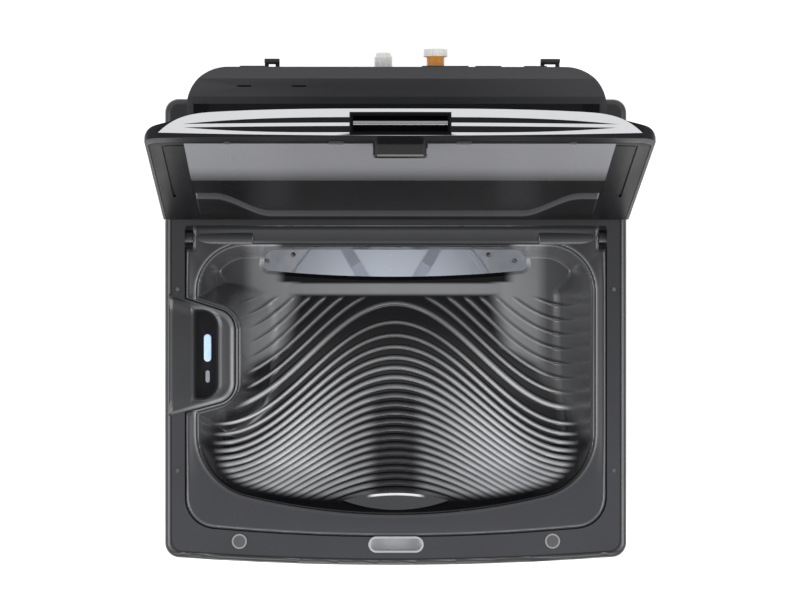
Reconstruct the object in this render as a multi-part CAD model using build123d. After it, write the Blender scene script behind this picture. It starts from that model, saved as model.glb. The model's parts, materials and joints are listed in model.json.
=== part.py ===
from build123d import *
import math
import os

# Top load washing machine with a built-in sink lid, shown with its outer lid open.
# Millimetres. +X is the machine's right side, -Y its front, +Z up, and z = 0 is the floor.

# ------------------------------------------------------------------ driving dimensions
BODY_HALF_WIDTH = 343.0
BODY_FRONT = -382.0          # centre of the bowed front
BODY_REAR = 311.0
FRONT_BOW = 13.0             # how far the front's ends stand back from its centre
FRONT_CORNER_R = 22.0
REAR_CORNER_R = 20.0
SHEET = 1.2                  # cabinet steel
BASE_Z = 34.0
CABINET_TOP_Z = 958.0
DECK_Z = 1020.0
DECK_SKIN = 4.0

CONSOLE_HALF_WIDTH = 306.0
CONSOLE_FRONT = 170.0
CONSOLE_REAR = 352.0
CONSOLE_TOP_Z = 1126.0
CONSOLE_LOW_Z = 985.0
CONSOLE_CORNER_R = 60.0
CONSOLE_WALL = 3.0
GLASS_FRONT_Y = 180.0        # control glass, measured along Y
GLASS_REAR_Y = 298.0

LID_OPEN = 101.2             # degrees from closed to fully open
LID_HINGE_Y = 140.0
LID_HINGE_Z = DECK_Z + 15.0
LID_LENGTH = 520.0           # hinge axis to the front centre
LID_REAR = -12.0             # rear edge, measured from the hinge axis
LID_INNER = -12.0            # inner face, measured from the hinge axis
LID_CROWN = 24.0             # outer face at the centre, measured from the hinge axis
LID_SKIN = 4.0
LID_FRONT_BEAM = 26.0

SINK_AXIS_Y = 105.0
SINK_AXIS_Z = 1001.0
SINK_HALF_WIDTH = 312.0
SINK_FRONT = -338.5
SINK_REAR = 118.0
SINK_LEDGE_Z = 1006.0
BOWL_HALF_WIDTH = 293.0
BOWL_FRONT = -304.5
BOWL_REAR = 92.0
BOWL_DEPTH = 112.0           # below the sink flange, at the deepest point
BOWL_WALL = 3.0
BOWL_SLOT_Y = (48.0, 88.0)   # drain slot behind the floor
SHELF_EDGE_X = -229.0           # left of this the bowl is shallow behind the jet button
SHELF_Z = 986.0
RIB_COUNT = 21
RIB_REAR_Y = 8.0             # crest of the rearmost rib
RIB_SPAN = 280.0             # crest of the rearmost rib to that of the foremost
RIB_WIDTH = 5.0
RIB_HEIGHT = 3.0

POCKET_X = (-300.0, -264.0)
POCKET_Y = (-136.0, -2.0)
BUTTON_X = -280.0
BUTTON_Y = -59.0
ICON_Y = -101.5

LATCH_Y = -351.0
BOLT_Z = DECK_Z - 11.0
BUMPER_X = 232.5
BUMPER_Y = -346.0
HINGE_X = 313.0              # outer lid hinges

TUB_X = 0.0
TUB_Y = -30.0
TUB_R = 300.0
TUB_WALL = 3.0
TUB_FLOOR_Z = 232.0
TUB_TOP_Z = 855.0
MOUTH_R = 246.0
DRUM_R = 268.0
DRUM_WALL = 1.2
DRUM_FLOOR_Z = 258.0
DRUM_TOP_Z = 800.0
BALANCE_TOP_Z = 850.0
PULSATOR_R = 188.0
ROD_REACH = 262.0            # suspension rods, in X and in Y from the tub centre
ROD_R = 5.0
ROD_TOP_Z = 869.0
ROD_LOW_Z = 140.0
LUG_Z = 300.0
SPRING_SEAT_Z = 152.0

PUMP_X = 150.0
PUMP_Y = -200.0
JET_Z = 972.0
OUTLET_X = 262.0             # mains gland and drain outlet, either side of the rear
OUTLET_Z = 925.0

VALVE_Z = 1050.0
COLD_X = -19.0
HOT_X = 58.0
SPIGOT_R = 13.2

FOOT_X = 290.0
FOOT_Y = (-325.0, 262.0)
FIT = 0.05                   # running clearance on a radius


# ------------------------------------------------------------------ helpers
def block(x0, x1, y0, y1, z0, z1):
    size = Box(x1 - x0, y1 - y0, z1 - z0)
    return Pos((x0 + x1) / 2, (y0 + y1) / 2, (z0 + z1) / 2) * size


def disc(radius, z0, z1, x=0.0, y=0.0):
    return Pos(x, y, (z0 + z1) / 2) * Cylinder(radius, z1 - z0)


def tube(outer, inner, z0, z1, x=0.0, y=0.0):
    return disc(outer, z0, z1, x, y) - disc(inner, z0 - 1, z1 + 1, x, y)


def rod_x(radius, x0, x1, y, z):
    return Pos((x0 + x1) / 2, y, z) * Rot(Y=90) * Cylinder(radius, abs(x1 - x0))


def rod_y(radius, y0, y1, x, z):
    return Pos(x, (y0 + y1) / 2, z) * Rot(X=90) * Cylinder(radius, abs(y1 - y0))


def prism(face, z0, z1):
    return extrude(Pos(0, 0, z0) * face, amount=z1 - z0)


def pill(length, width, z0, z1, x=0.0, y=0.0):
    return prism(Pos(x, y) * SlotOverall(length, width), z0, z1)


def both_sides(solid):
    return [solid, mirror(solid, about=Plane.YZ)]


def around(solid, count, x=0.0, y=0.0, start=0.0):
    turns = [start + 360.0 * i / count for i in range(count)]
    return [Pos(x, y) * Rot(Z=turn) * Pos(-x, -y) * solid for turn in turns]


def save(node, shape):
    solids = []
    for piece in shape if isinstance(shape, (list, ShapeList)) else [shape]:
        solids += list(piece.solids())
    export_step(Compound(solids) if len(solids) > 1 else solids[0], f"parts/{node}.step")


# ------------------------------------------------------------------ outlines
def bowed_face(half_width, front, rise, rear, front_r, rear_r=0.0):
    """A rectangle whose front edge bows forward, with rounded corners."""
    bow = ThreePointArc((half_width, front + rise), (0, front), (-half_width, front + rise))
    sides = Polyline((-half_width, front + rise), (-half_width, rear), (half_width, rear),
                     (half_width, front + rise))
    face = make_face(bow + sides)
    corners = face.vertices().sort_by(Axis.Y)
    face = fillet(corners[:2], front_r)
    if rear_r:
        face = fillet(face.vertices().sort_by(Axis.Y)[-2:], rear_r)
    return face


def body_face(inset=0.0):
    return bowed_face(BODY_HALF_WIDTH - inset, BODY_FRONT + inset, FRONT_BOW,
                      BODY_REAR - inset, FRONT_CORNER_R - inset / 2, REAR_CORNER_R - inset / 2)


def pocket_bulge(grow=0.0):
    """The bulge of the deck that carries the jet button, seen from above."""
    face = make_face(Polyline((-345 + grow, 24 + grow), (-300, 11 + grow), (-238 + grow, -11 + grow),
                              (-238 + grow, -134 - grow), (-300, -152 - grow),
                              (-345 + grow, -162 - grow), close=True))
    inner = face.vertices().sort_by(Axis.X)[-2:]
    return fillet(inner, 32.0 + grow)


def sink_face(grow=0.0):
    """Outline of the sink lid's flange, with the bulge left out."""
    face = bowed_face(SINK_HALF_WIDTH + grow, SINK_FRONT - grow, 16.5, SINK_REAR + grow,
                      45.0 + grow)
    return face - pocket_bulge(-grow)


def bowl_face(grow=0.0):
    """Outline of the sink bowl's cavity at its rim."""
    face = bowed_face(BOWL_HALF_WIDTH + grow, BOWL_FRONT - grow, 49.0, BOWL_REAR + grow,
                      95.0 + grow, 68.0 + grow)
    return face - pocket_bulge(7.0 - grow)


# ------------------------------------------------------------------ cabinet and base
def cabinet_wrap():
    shell = prism(body_face(), BASE_Z, CABINET_TOP_Z)
    shell -= prism(body_face(SHEET), BASE_Z - 1, CABINET_TOP_Z + 1)
    return shell - block(-318, 318, BODY_REAR - 8, BODY_REAR + 8, BASE_Z - 1, CABINET_TOP_Z + 1)


def rear_panel():
    face_y = BODY_REAR - SHEET
    panel = block(-322, 322, face_y - SHEET, face_y, BASE_Z + 30, CABINET_TOP_Z)
    for z in (230.0, 450.0, 670.0):
        rib = block(-250, 250, face_y - 7, face_y, z, z + 120)
        hollow = block(-246, 246, face_y - 7 + SHEET, face_y + 1, z + 4, z + 116)
        panel = panel + rib - hollow
    for row in range(7):
        panel -= block(120, 240, face_y - 10, face_y + 1, 110 + 12 * row, 115 + 12 * row)
    panel -= rod_y(17, face_y - 10, face_y + 1, OUTLET_X, OUTLET_Z)
    return panel - rod_y(9, face_y - 10, face_y + 1, -OUTLET_X, OUTLET_Z)


def rear_screws():
    spots = [(sx * 310, z) for sx in (-1, 1) for z in (90, 310, 530, 750, 940)]
    heads = []
    for x, z in spots:
        head = rod_y(5, BODY_REAR - SHEET, BODY_REAR + 1.8, x, z)
        heads.append(head - block(x - 3, x + 3, BODY_REAR + 0.8, BODY_REAR + 2, z - 0.6, z + 0.6))
    for x in (-225, -90, 150, 225):
        heads.append(rod_y(4.5, CONSOLE_REAR, CONSOLE_REAR + 1.8, x, 1000))
    return heads


def base_frame():
    tray = prism(body_face(SHEET + FIT), BASE_Z, BASE_Z + 28)
    tray -= prism(body_face(SHEET + 3), BASE_Z + 3, BASE_Z + 29)
    tray -= block(-235, 235, -275, 205, BASE_Z - 1, BASE_Z + 29)
    tray -= block(-318, 318, BODY_REAR - 9, BODY_REAR, BASE_Z - 1, BASE_Z + 29)
    lip = block(-239, 239, -279, 209, BASE_Z + 2, BASE_Z + 22)
    tray += lip - block(-235, 235, -275, 205, BASE_Z, BASE_Z + 29)
    for x in (-FOOT_X, FOOT_X):
        for y in FOOT_Y:
            tray += disc(16, BASE_Z + 2, BASE_Z + 20, x, y)
            tray -= disc(5 + FIT, BASE_Z - 1, BASE_Z + 40, x, y)
    return tray


def at_feet(solid):
    return [Pos(x, y) * solid for x in (-FOOT_X, FOOT_X) for y in FOOT_Y]


def foot_pads():
    pad = Cylinder(24, 12, align=(Align.CENTER, Align.CENTER, Align.MIN))
    pad = chamfer(pad.edges().group_by(Axis.Z)[-1], 3)
    pad += disc(12, 11, 16)
    return at_feet(pad - disc(5 + FIT, 4, 20))


def foot_studs():
    """Threaded studs of the feet, each with its lock nut under the base."""
    stud = disc(5, 4, 66)
    for turn in range(9):
        stud -= tube(6, 4.4, 36 + 3 * turn, 37 + 3 * turn)
    nut = prism(RegularPolygon(9.8, 6), 25, BASE_Z)
    return at_feet(stud) + at_feet(nut - disc(5 + FIT, 20, 40))


# ------------------------------------------------------------------ deck
def hinge_well():
    """The open space at the rear of the sink lid that its hinge turns in."""
    return block(-301, 301, 50, SINK_REAR + 9, 884, DECK_Z - DECK_SKIN)


def top_deck():
    deck = prism(body_face(), CABINET_TOP_Z, DECK_Z)
    rim = deck.edges().group_by(Axis.Z)[-1]
    deck = fillet(rim, 9.0)
    deck -= prism(body_face(DECK_SKIN), CABINET_TOP_Z - 1, DECK_Z - DECK_SKIN)
    deck += prism(sink_face(4.5), 880, DECK_Z - 2)
    deck -= prism(sink_face(1.5), SINK_LEDGE_Z, DECK_Z + 1)
    deck -= block(-SINK_HALF_WIDTH, SINK_HALF_WIDTH, SINK_REAR, SINK_REAR + 4.5, SINK_LEDGE_Z, DECK_Z + 1)
    deck -= prism(bowl_face(7.0), 884, DECK_Z)
    deck -= hinge_well()
    deck += block(-304, 304, SINK_REAR + 9, SINK_REAR + 12, 880, DECK_Z - 2)
    deck -= block(HOT_X - 14, HOT_X + 14, SINK_REAR + 8, SINK_REAR + 13, JET_Z - 4, JET_Z + 4)
    deck -= rod_y(10, BODY_REAR - 10, BODY_REAR + 1, HOT_X, JET_Z)
    deck -= disc(MOUTH_R, 870, 890, TUB_X, TUB_Y)
    groove = prism(body_face(8.5), DECK_Z - 1.6, DECK_Z + 1) - prism(body_face(10.5), 900, 1100)
    deck -= groove - block(-400, 400, 150, 400, 1000, 1100)
    for side in both_sides(rod_x(12, 302, SINK_HALF_WIDTH + 3, SINK_AXIS_Y, SINK_AXIS_Z)):
        deck += side
    for side in both_sides(rod_x(5, 300, 330, SINK_AXIS_Y, SINK_AXIS_Z)):
        deck -= side
    deck -= prism(pocket_face(), DECK_Z - 16, DECK_Z + 1)
    deck -= pill(82, 24, DECK_Z - 30, DECK_Z + 1, 0, LATCH_Y)
    for x in (-BUMPER_X, BUMPER_X):
        deck -= disc(9, DECK_Z - 30, DECK_Z + 1, x, BUMPER_Y)
    return deck


def latch_cup():
    """Bright pill-shaped cup in the deck that the lid's latch drops into."""
    cup = pill(81.9, 23.9, DECK_Z - 30, DECK_Z + 0.8, 0, LATCH_Y)
    cup -= pill(76, 18, DECK_Z - 27, DECK_Z + 2, 0, LATCH_Y)
    return cup - block(20, 60, LATCH_Y - 4.5, LATCH_Y + 4.5, BOLT_Z - 5, BOLT_Z + 5)


def lid_lock_body():
    body = block(45, 95, LATCH_Y - 12, LATCH_Y + 6.5, BOLT_Z - 12, BOLT_Z + 6.9)
    return body - block(44, 80, LATCH_Y - 4 - FIT, LATCH_Y + 4 + FIT, BOLT_Z - 4.5, BOLT_Z + 4.5)


def lid_lock_bolt():
    return block(46, 70, LATCH_Y - 4, LATCH_Y + 4, BOLT_Z - 4.5 + FIT, BOLT_Z + 4.5 - FIT)


def deck_bumpers():
    bumper = disc(8.95, DECK_Z - 8, DECK_Z + 1.2, BUMPER_X, BUMPER_Y)
    bumper += tube(11.5, 8, DECK_Z, DECK_Z + 1.2, BUMPER_X, BUMPER_Y)
    pads = [disc(3, DECK_Z, DECK_Z + 1.2, sx * 324, y) for sx in (-1, 1) for y in (28, -241)]
    return both_sides(bumper) + pads


def pocket_face(inset=0.0):
    """Outline of the jet button's pocket, rounder on the side towards the sink."""
    x0, x1 = POCKET_X[0] + inset, POCKET_X[1] - inset
    y0, y1 = POCKET_Y[0] + inset, POCKET_Y[1] - inset
    face = make_face(Polyline((x0, y0), (x1, y0), (x1, y1), (x0, y1), close=True))
    face = fillet(face.vertices().sort_by(Axis.X)[-2:], 24 - inset)
    return fillet(face.vertices().sort_by(Axis.X)[:2], 6 - inset)


def button_pocket():
    outer = prism(pocket_face(), DECK_Z - 16, DECK_Z)
    hollow = prism(pocket_face(3), DECK_Z - 12, DECK_Z + 1)
    bore = pill(41.3, 11.3, DECK_Z - 20, DECK_Z, 0, 0)
    icon = pill(18, 6, DECK_Z - 14, DECK_Z)
    return (outer - hollow - Pos(BUTTON_X, BUTTON_Y) * Rot(Z=90) * bore
            - Pos(BUTTON_X, ICON_Y) * Rot(Z=90) * icon)


def jet_button():
    cap = fillet(pill(41, 11, DECK_Z - 15, DECK_Z - 7).edges().group_by(Axis.Z)[-1], 1.5)
    return Pos(BUTTON_X, BUTTON_Y) * Rot(Z=90) * cap


def jet_icon():
    return Pos(BUTTON_X, ICON_Y) * Rot(Z=90) * pill(18, 6, DECK_Z - 14, DECK_Z - 11.6)


def hinge_fixings():
    """Brackets and pins of the outer lid's two hinges, and stub pins of the sink lid's two."""
    ears = []
    for x0, x1 in ((HINGE_X - 9, HINGE_X - 5.5), (HINGE_X + 5.5, HINGE_X + 9)):
        ear = rod_x(8, x0, x1, LID_HINGE_Y, LID_HINGE_Z)
        ear += block(x0, x1, LID_HINGE_Y - 4, LID_HINGE_Y + 12, DECK_Z, LID_HINGE_Z)
        ears.append(ear)
    foot = block(HINGE_X - 9, HINGE_X + 9, LID_HINGE_Y - 4, LID_HINGE_Y + 22, DECK_Z, DECK_Z + 3)
    bracket = ears[0] + ears[1] + foot
    bracket -= rod_x(4, HINGE_X - 12, HINGE_X + 12, LID_HINGE_Y, LID_HINGE_Z)
    outer = rod_x(4, HINGE_X - 9.5, HINGE_X + 9.5, LID_HINGE_Y, LID_HINGE_Z)
    inner = rod_x(5, 232, SINK_HALF_WIDTH + 4, SINK_AXIS_Y, SINK_AXIS_Z)
    return both_sides(bracket) + both_sides(outer) + both_sides(inner)


# ------------------------------------------------------------------ console
def console_profile(inset=0.0):
    """Side section of the console, from its low front edge round over the back."""
    section = Polyline(
        (CONSOLE_FRONT + inset, DECK_Z), (CONSOLE_FRONT + inset, 1054 - inset),
        (308 + 0.4 * inset, CONSOLE_TOP_Z - 4 - inset), (334, CONSOLE_TOP_Z - inset),
        (CONSOLE_REAR - inset, CONSOLE_TOP_Z - 14), (CONSOLE_REAR - inset, CONSOLE_LOW_Z),
        (BODY_REAR + 0.2 + inset, CONSOLE_LOW_Z), (BODY_REAR + 0.2 + inset, DECK_Z), close=True)
    return make_face(Plane.YZ * section)


def console_block(inset=0.0):
    half = CONSOLE_HALF_WIDTH - inset
    solid = extrude(console_profile(inset), amount=half, both=True)
    plan = Rectangle(2 * half, 400)
    plan = fillet(plan.vertices().sort_by(Axis.Y)[-2:], CONSOLE_CORNER_R - inset)
    return solid & prism(Pos(0, CONSOLE_REAR - inset - 200) * plan, 900, 1200)


def on_slope(y, lift=0.0, x=0.0):
    """A place on the sloping control panel, turned to face out of it."""
    drop = 0.4853                      # rise over run of the slope
    z = 1054 + drop * (y - CONSOLE_FRONT)
    return Pos(x, y, z) * Rot(X=math.degrees(math.atan(drop))) * Pos(0, 0, lift)


def console_housing():
    shell = console_block() - (console_block(CONSOLE_WALL) - block(-400, 400, 100, 400, 900, 988))
    mid = (GLASS_FRONT_Y + GLASS_REAR_Y) / 2
    run = (GLASS_REAR_Y - GLASS_FRONT_Y) * 1.1115
    shell -= on_slope(mid) * Box(592, run, 5)
    shell -= on_slope(mid) * Box(570, run - 16, 14)
    for x, width in ((-211, 36), (71, 68), (134, 38), (203, 33)):
        shell += block(x - width / 2, x + width / 2, CONSOLE_REAR - 1, CONSOLE_REAR + 2, 1088, 1104)
    for x in (COLD_X, HOT_X):
        shell -= rod_y(SPIGOT_R + 1.5, 330, 360, x, VALVE_Z)
    shell -= disc(10, CONSOLE_LOW_Z - 1, CONSOLE_LOW_Z + 5, HOT_X, 329)
    for slot in range(2):
        shell -= block(-232 + 80 * slot, -212 + 80 * slot, 322, 324, 1100, 1140)
    return shell


def control_glass():
    mid = (GLASS_FRONT_Y + GLASS_REAR_Y) / 2
    run = (GLASS_REAR_Y - GLASS_FRONT_Y) * 1.1115
    pane = Box(591.6, run - 0.4, 3)
    pane = fillet(pane.edges().filter_by(Axis.Z), 4)
    pane = on_slope(mid, -1.0) * pane
    pane -= on_slope(mid) * Cylinder(25, 20)
    for x in (-230, 230):
        pane -= on_slope(mid, 0, x) * Cylinder(9.3, 20)
    return pane


def dial_middle():
    return (GLASS_FRONT_Y + GLASS_REAR_Y) / 2


def programme_dial():
    knob = Pos(0, 0, 9) * Cylinder(24, 18)
    knob = fillet(knob.edges().group_by(Axis.Z)[-1], 2.5)
    for grip in around(Pos(24.4, 0, 10) * Box(1.6, 1.6, 14), 36):
        knob -= grip
    knob += Pos(0, 0, -7) * Cylinder(5, 14)
    return on_slope(dial_middle(), 1) * knob


def push_button(x):
    cap = Cylinder(9, 8)
    cap = fillet(cap.edges().group_by(Axis.Z)[-1], 1)
    return on_slope(dial_middle(), -1, x) * cap


def control_board():
    """Circuit board with its display, dial encoder, push switches and relays."""
    board = on_slope(dial_middle(), -26) * Box(520, 60, 1.6)
    board += on_slope(dial_middle(), -22.6) * Box(28, 28, 6)
    for x in (-140, -60, 70, 170):
        board += on_slope(dial_middle(), -22, x) * Box(34, 22, 7)
    board += on_slope(dial_middle(), -15) * Cylinder(12, 21)
    for x in (-230, 230):
        board += on_slope(dial_middle(), -17, x) * Box(14, 14, 17)
    board += on_slope(dial_middle(), -16, 120) * Box(120, 46, 20)
    return board - on_slope(dial_middle(), -16) * Cylinder(5 + FIT, 40)


def inlet_valve():
    body = block(-36, 76, 312, 346, VALVE_Z - 20, VALVE_Z + 20)
    for x in (COLD_X, HOT_X):
        body += disc(13, VALVE_Z - 48, VALVE_Z - 19, x, 329)
        body += block(x - 15, x + 15, 318, 340, VALVE_Z - 44, VALVE_Z - 26)
    return body


def spigot(x, end):
    pipe = rod_y(SPIGOT_R, 346, end, x, VALVE_Z)
    for turn in range(int((end - 354) / 3.2)):
        y = 354 + 3.2 * turn
        pipe -= rod_y(SPIGOT_R + 2, y, y + 1.2, x, VALVE_Z) - rod_y(12, y - 1, y + 3, x, VALVE_Z)
    return pipe - rod_y(8.5, 347, end + 1, x, VALVE_Z)


def cold_inlet():
    """White threaded spigot with a domed transit plug."""
    plug = rod_y(8.4, 364, 371, COLD_X, VALVE_Z) + rod_y(11.5, 371, 377, COLD_X, VALVE_Z)
    plug = fillet(plug.edges().group_by(Axis.Y)[-1], 3.5)
    return [spigot(COLD_X, 371), plug]


def hot_cap():
    cap = rod_y(17.8, 371, 382, HOT_X, VALVE_Z)
    for rib in range(24):
        turn = math.radians(15 * rib)
        cap -= rod_y(1.1, 369, 384, HOT_X + 18 * math.cos(turn), VALVE_Z + 18 * math.sin(turn))
    return cap


def hose_hooks():
    hooks = []
    for x, width in ((-183, 22), (227, 28)):
        hook = block(x - width / 2, x + width / 2, CONSOLE_REAR, 367, 1046, 1052)
        hook += block(x - width / 2, x + width / 2, 362, 367, 1046, 1066)
        hook -= block(x - width / 2 + 6, x + width / 2 - 6, 355, 360, 1040, 1060)
        hooks.append(hook)
    return hooks


def mains_gland():
    gland = rod_y(13, 309.9, 318, -OUTLET_X, OUTLET_Z) + rod_y(8.9, 302, 311, -OUTLET_X, OUTLET_Z)
    gland += rod_y(7.5, 318, 330, -OUTLET_X, OUTLET_Z)
    return gland - rod_y(4.2, 300, 331, -OUTLET_X, OUTLET_Z)


def drain_outlet():
    pipe = rod_y(22, 309.9, 315, OUTLET_X, OUTLET_Z) + rod_y(16.9, 290, 348, OUTLET_X, OUTLET_Z)
    return pipe - rod_y(13, 289, 349, OUTLET_X, OUTLET_Z)


def jet_feed():
    """Hose from the hot and cold valve, and the jet nozzle behind the sink that it feeds."""
    path = FilletPolyline((HOT_X, 329, VALVE_Z - 48.1), (HOT_X, 329, JET_Z),
                          (HOT_X, 156.1, JET_Z), radius=12)
    outer = sweep(Plane(path @ 0, z_dir=path % 0) * Circle(9), path)
    hose = outer - sweep(Plane(path @ 0, z_dir=path % 0) * Circle(6.5), path)
    nozzle = block(HOT_X - 20, HOT_X + 20, SINK_REAR + 12, 150, JET_Z - 14, JET_Z + 14)
    nozzle += rod_y(6.4, 150, 168, HOT_X, JET_Z)
    return [hose, nozzle - block(HOT_X - 12, HOT_X + 12, 125, 142, JET_Z - 1.5, JET_Z + 1.5)]


# ------------------------------------------------------------------ sink lid
def floor_height(y):
    """Height of the bowl's floor: deepest at the drain slot, rising in a curve to the front."""
    reach = max(0.0, (BOWL_SLOT_Y[0] - y) / (BOWL_SLOT_Y[0] - BOWL_FRONT))
    return SINK_LEDGE_Z - BOWL_DEPTH + (BOWL_DEPTH - 14) * reach ** 2.2


def floor_layer(low, high):
    """The band between two offsets of the floor curve, right across the bowl."""
    steps = [BOWL_FRONT - 10 + i * (BOWL_REAR + 30 - BOWL_FRONT) / 12 for i in range(13)]
    bottom = [(y, floor_height(y) + low) for y in steps]
    top = [(y, floor_height(y) + high) for y in steps] if high < 100 else None
    if top is None:
        edge = Spline(*bottom) + Polyline(bottom[-1], (steps[-1], 1200), (steps[0], 1200), bottom[0])
    else:
        edge = Spline(*bottom) + Spline(*top) + Line(bottom[0], top[0]) + Line(bottom[-1], top[-1])
    return extrude(make_face(Plane.YZ * edge), amount=320, both=True)


def drain_slot():
    """Lens-shaped slot behind the floor, where the sink empties into the drum."""
    front = ThreePointArc((-200, 58), (0, 48), (200, 58))
    back = Polyline((200, 58), (200, 88), (-200, 88), (-200, 58))
    face = make_face(front + back)
    corners = face.vertices().sort_by(Axis.Y)
    face = fillet(corners[:2], 7)
    return fillet(face.vertices().sort_by(Axis.Y)[-2:], 20)


def rib_curve(apex, swing, half):
    """A level rib seen from above: a bell in the middle that flattens towards both ends."""
    points = []
    for i in range(-6, 7):
        x = half * i / 6
        fall = swing * (1 - math.cos(math.pi * x / half)) / 2
        points.append((x, apex - fall))
    return points


def rib_strip(index):
    share = index / (RIB_COUNT - 1)
    apex = RIB_REAR_Y - RIB_SPAN * share ** 0.76
    swing = 158 - 92 * share
    width = RIB_WIDTH * (1.6 if index == 0 else 1.0) / 2
    middle = rib_curve(apex, swing, 262)
    ahead = Spline(*[(x, y - width) for x, y in middle])
    behind = Spline(*[(x, y + width) for x, y in middle])
    ends = Line(ahead @ 0, behind @ 0) + Line(ahead @ 1, behind @ 1)
    return prism(make_face(ahead + behind + ends), 880, 1020)


def beside_button(edge):
    """Plan of the bowl's left rear corner, out to the left of edge."""
    return Pos(edge - 100, 70) * Rectangle(200, 260)


def deep_face(grow=0.0):
    """Outline of the deep part of the bowl, which clears the jet button as the lid swings."""
    return bowl_face(grow) - beside_button(SHELF_EDGE_X - grow)


def sink_bowl():
    cavity = prism(deep_face(), 880, 1100) & floor_layer(0, 200)
    cavity += prism(bowl_face() & beside_button(SHELF_EDGE_X + 1), SHELF_Z, 1100)
    outer = prism(deep_face(BOWL_WALL), 880, SINK_LEDGE_Z + 7) & floor_layer(-BOWL_WALL, 200)
    outer += prism(bowl_face(BOWL_WALL) & beside_button(SHELF_EDGE_X + 1), SHELF_Z - BOWL_WALL,
                   SINK_LEDGE_Z + 7)
    bowl = outer - cavity
    layer = prism(deep_face(-7), 880, SINK_LEDGE_Z) & floor_layer(-1, RIB_HEIGHT)
    for index in range(RIB_COUNT):
        bowl += rib_strip(index) & layer
    bowl -= prism(drain_slot(), 870, SINK_LEDGE_Z - 30)
    return bowl.solids().sort_by(SortBy.VOLUME)[-1]


def sink_frame():
    frame = prism(sink_face(), SINK_LEDGE_Z + 0.2, SINK_LEDGE_Z + 8)
    frame = chamfer(frame.edges().group_by(Axis.Z)[-1], 2.5)
    frame -= prism(bowl_face(BOWL_WALL), 900, 1100)
    for side in (-1, 1):
        frame -= rod_x(14.5, side * 301, side * 330, SINK_AXIS_Y, SINK_AXIS_Z)
        frame -= block(side * 315 - 14, side * 315 + 14, 88, SINK_REAR + 5, 1000, 1030)
        barrel = rod_x(17, side * 212, side * 301, SINK_AXIS_Y, SINK_AXIS_Z)
        barrel = fillet(barrel.edges().filter_by(GeomType.CIRCLE), 2)
        barrel -= prism(bowl_face(BOWL_WALL), 900, 1100)
        frame += barrel
        frame -= rod_x(5 + FIT, side * 230, side * 302, SINK_AXIS_Y, SINK_AXIS_Z)
    return frame


def sink_grip():
    """Lens-shaped finger grip on the front rim of the bowl."""
    lens = make_face(ThreePointArc((-78, -286), (0, -275), (78, -286))
                     + ThreePointArc((-78, -286), (0, -300), (78, -286)))
    return prism(lens, SINK_LEDGE_Z - 9, SINK_LEDGE_Z + 4) - sink_bowl_solid


# ------------------------------------------------------------------ outer lid (closed, hinge axis at 0)
def lid_profile(drop=0.0, side=0.0):
    """Front view of the lid: nearly flat, then rolling quickly down at both ends."""
    half = BODY_HALF_WIDTH - side
    top = LID_CROWN - drop
    rim = [(half, LID_INNER + 5), (half - 5, LID_INNER + 13), (half - 22, top - 16.5),
           (half - 50, top - 9.5), (half - 98, top - 2.5), (half - 190, top - 0.6)]
    points = rim + [(0, top)] + [(-x, z) for x, z in reversed(rim)]
    sides = Polyline((half, LID_INNER + 5), (half, LID_INNER - 1), (-half, LID_INNER - 1),
                     (-half, LID_INNER + 5))
    return make_face(Plane.XZ * (Spline(*points) + sides))


def lid_plan(inset=0.0, front_inset=None):
    front = LID_LENGTH - (inset if front_inset is None else front_inset)
    return bowed_face(BODY_HALF_WIDTH - inset, -front, FRONT_BOW, LID_REAR - inset,
                      max(4.0, FRONT_CORNER_R - inset), 5.0)


def lid_volume(drop=0.0, inset=0.0, front_inset=None):
    bar = extrude(lid_profile(drop, inset), amount=600, both=True)
    return bar & prism(lid_plan(inset, front_inset), LID_INNER, 60)


def window_face(grow=0.0):
    """Inner window: straight towards the lid's front, an S-shaped ledge towards the hinge."""
    half = 291.0
    ledge = [(256, -156), (200, -44), (-200, -44), (-256, -156)]
    outline = [(half, -156)] + ledge + [(-half, -156), (-half, -478), (half, -478)]
    face = make_face(Polyline(*outline, close=True))
    bends = [v for v in face.vertices() if abs(v.X) < half - 1]
    face = fillet(bends, 48)
    return offset(face, amount=grow, kind=Kind.INTERSECTION) if grow else face


def lid_outer_frame():
    shell = lid_volume() - (lid_volume(LID_SKIN, LID_SKIN, LID_FRONT_BEAM)
                            - block(-400, 400, -700, 0, 60, 90))
    pane = prism(fillet(Rectangle(560, 350).vertices(), 26), -40, 60)
    shell -= Pos(0, -305) * pane
    shell -= crescent(7.5, -1, 3.2, -1) - block(-400, 400, -700, 0, 4.6, 7.4)
    shell -= handle_hole()
    for side in (-1, 1):
        shell -= block(side * HINGE_X - 5.2, side * HINGE_X + 5.2, -40, 0, -5.1, 2.1)
    return shell - lid_chrome_trim()


def crescent(inset, outer, depth, proud):
    """A slice of the lid's front edge inside its outline, following the bow."""
    half = BODY_HALF_WIDTH
    top = LID_CROWN - inset + 4.5
    tip = half - 10 - 3.2 * inset
    rim = [(tip, LID_INNER + 6 + 0.4 * inset), (half - 42 - 1.5 * inset, top - 11.5),
           (half - 98 - inset, top - 2.7)]
    points = rim + [(0, top)] + [(-x, z) for x, z in reversed(rim)]
    bottom = LID_INNER + inset - 2.5
    face = make_face(Plane.XZ * (Spline(*points)
                                 + ThreePointArc(points[0], (0, bottom), points[-1])))
    bar = extrude(face, amount=600, both=True)
    band = prism(lid_plan(-proud, -proud), -60, 60) - prism(lid_plan(depth, depth), -61, 61)
    return bar & (band & block(-400, 400, -700, -400, -60, 60))


def trim_slot(flat, end, crest):
    """A pointed slot through the chrome, flat on one side and bowed on the other."""
    bow = Spline((-end, flat), (-0.72 * end, flat + 0.72 * crest), (0, flat + crest),
                 (0.72 * end, flat + 0.72 * crest), (end, flat))
    face = make_face(Plane.XZ * (bow + Line((-end, flat), (end, flat))))
    return extrude(face, amount=600, both=True)


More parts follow.
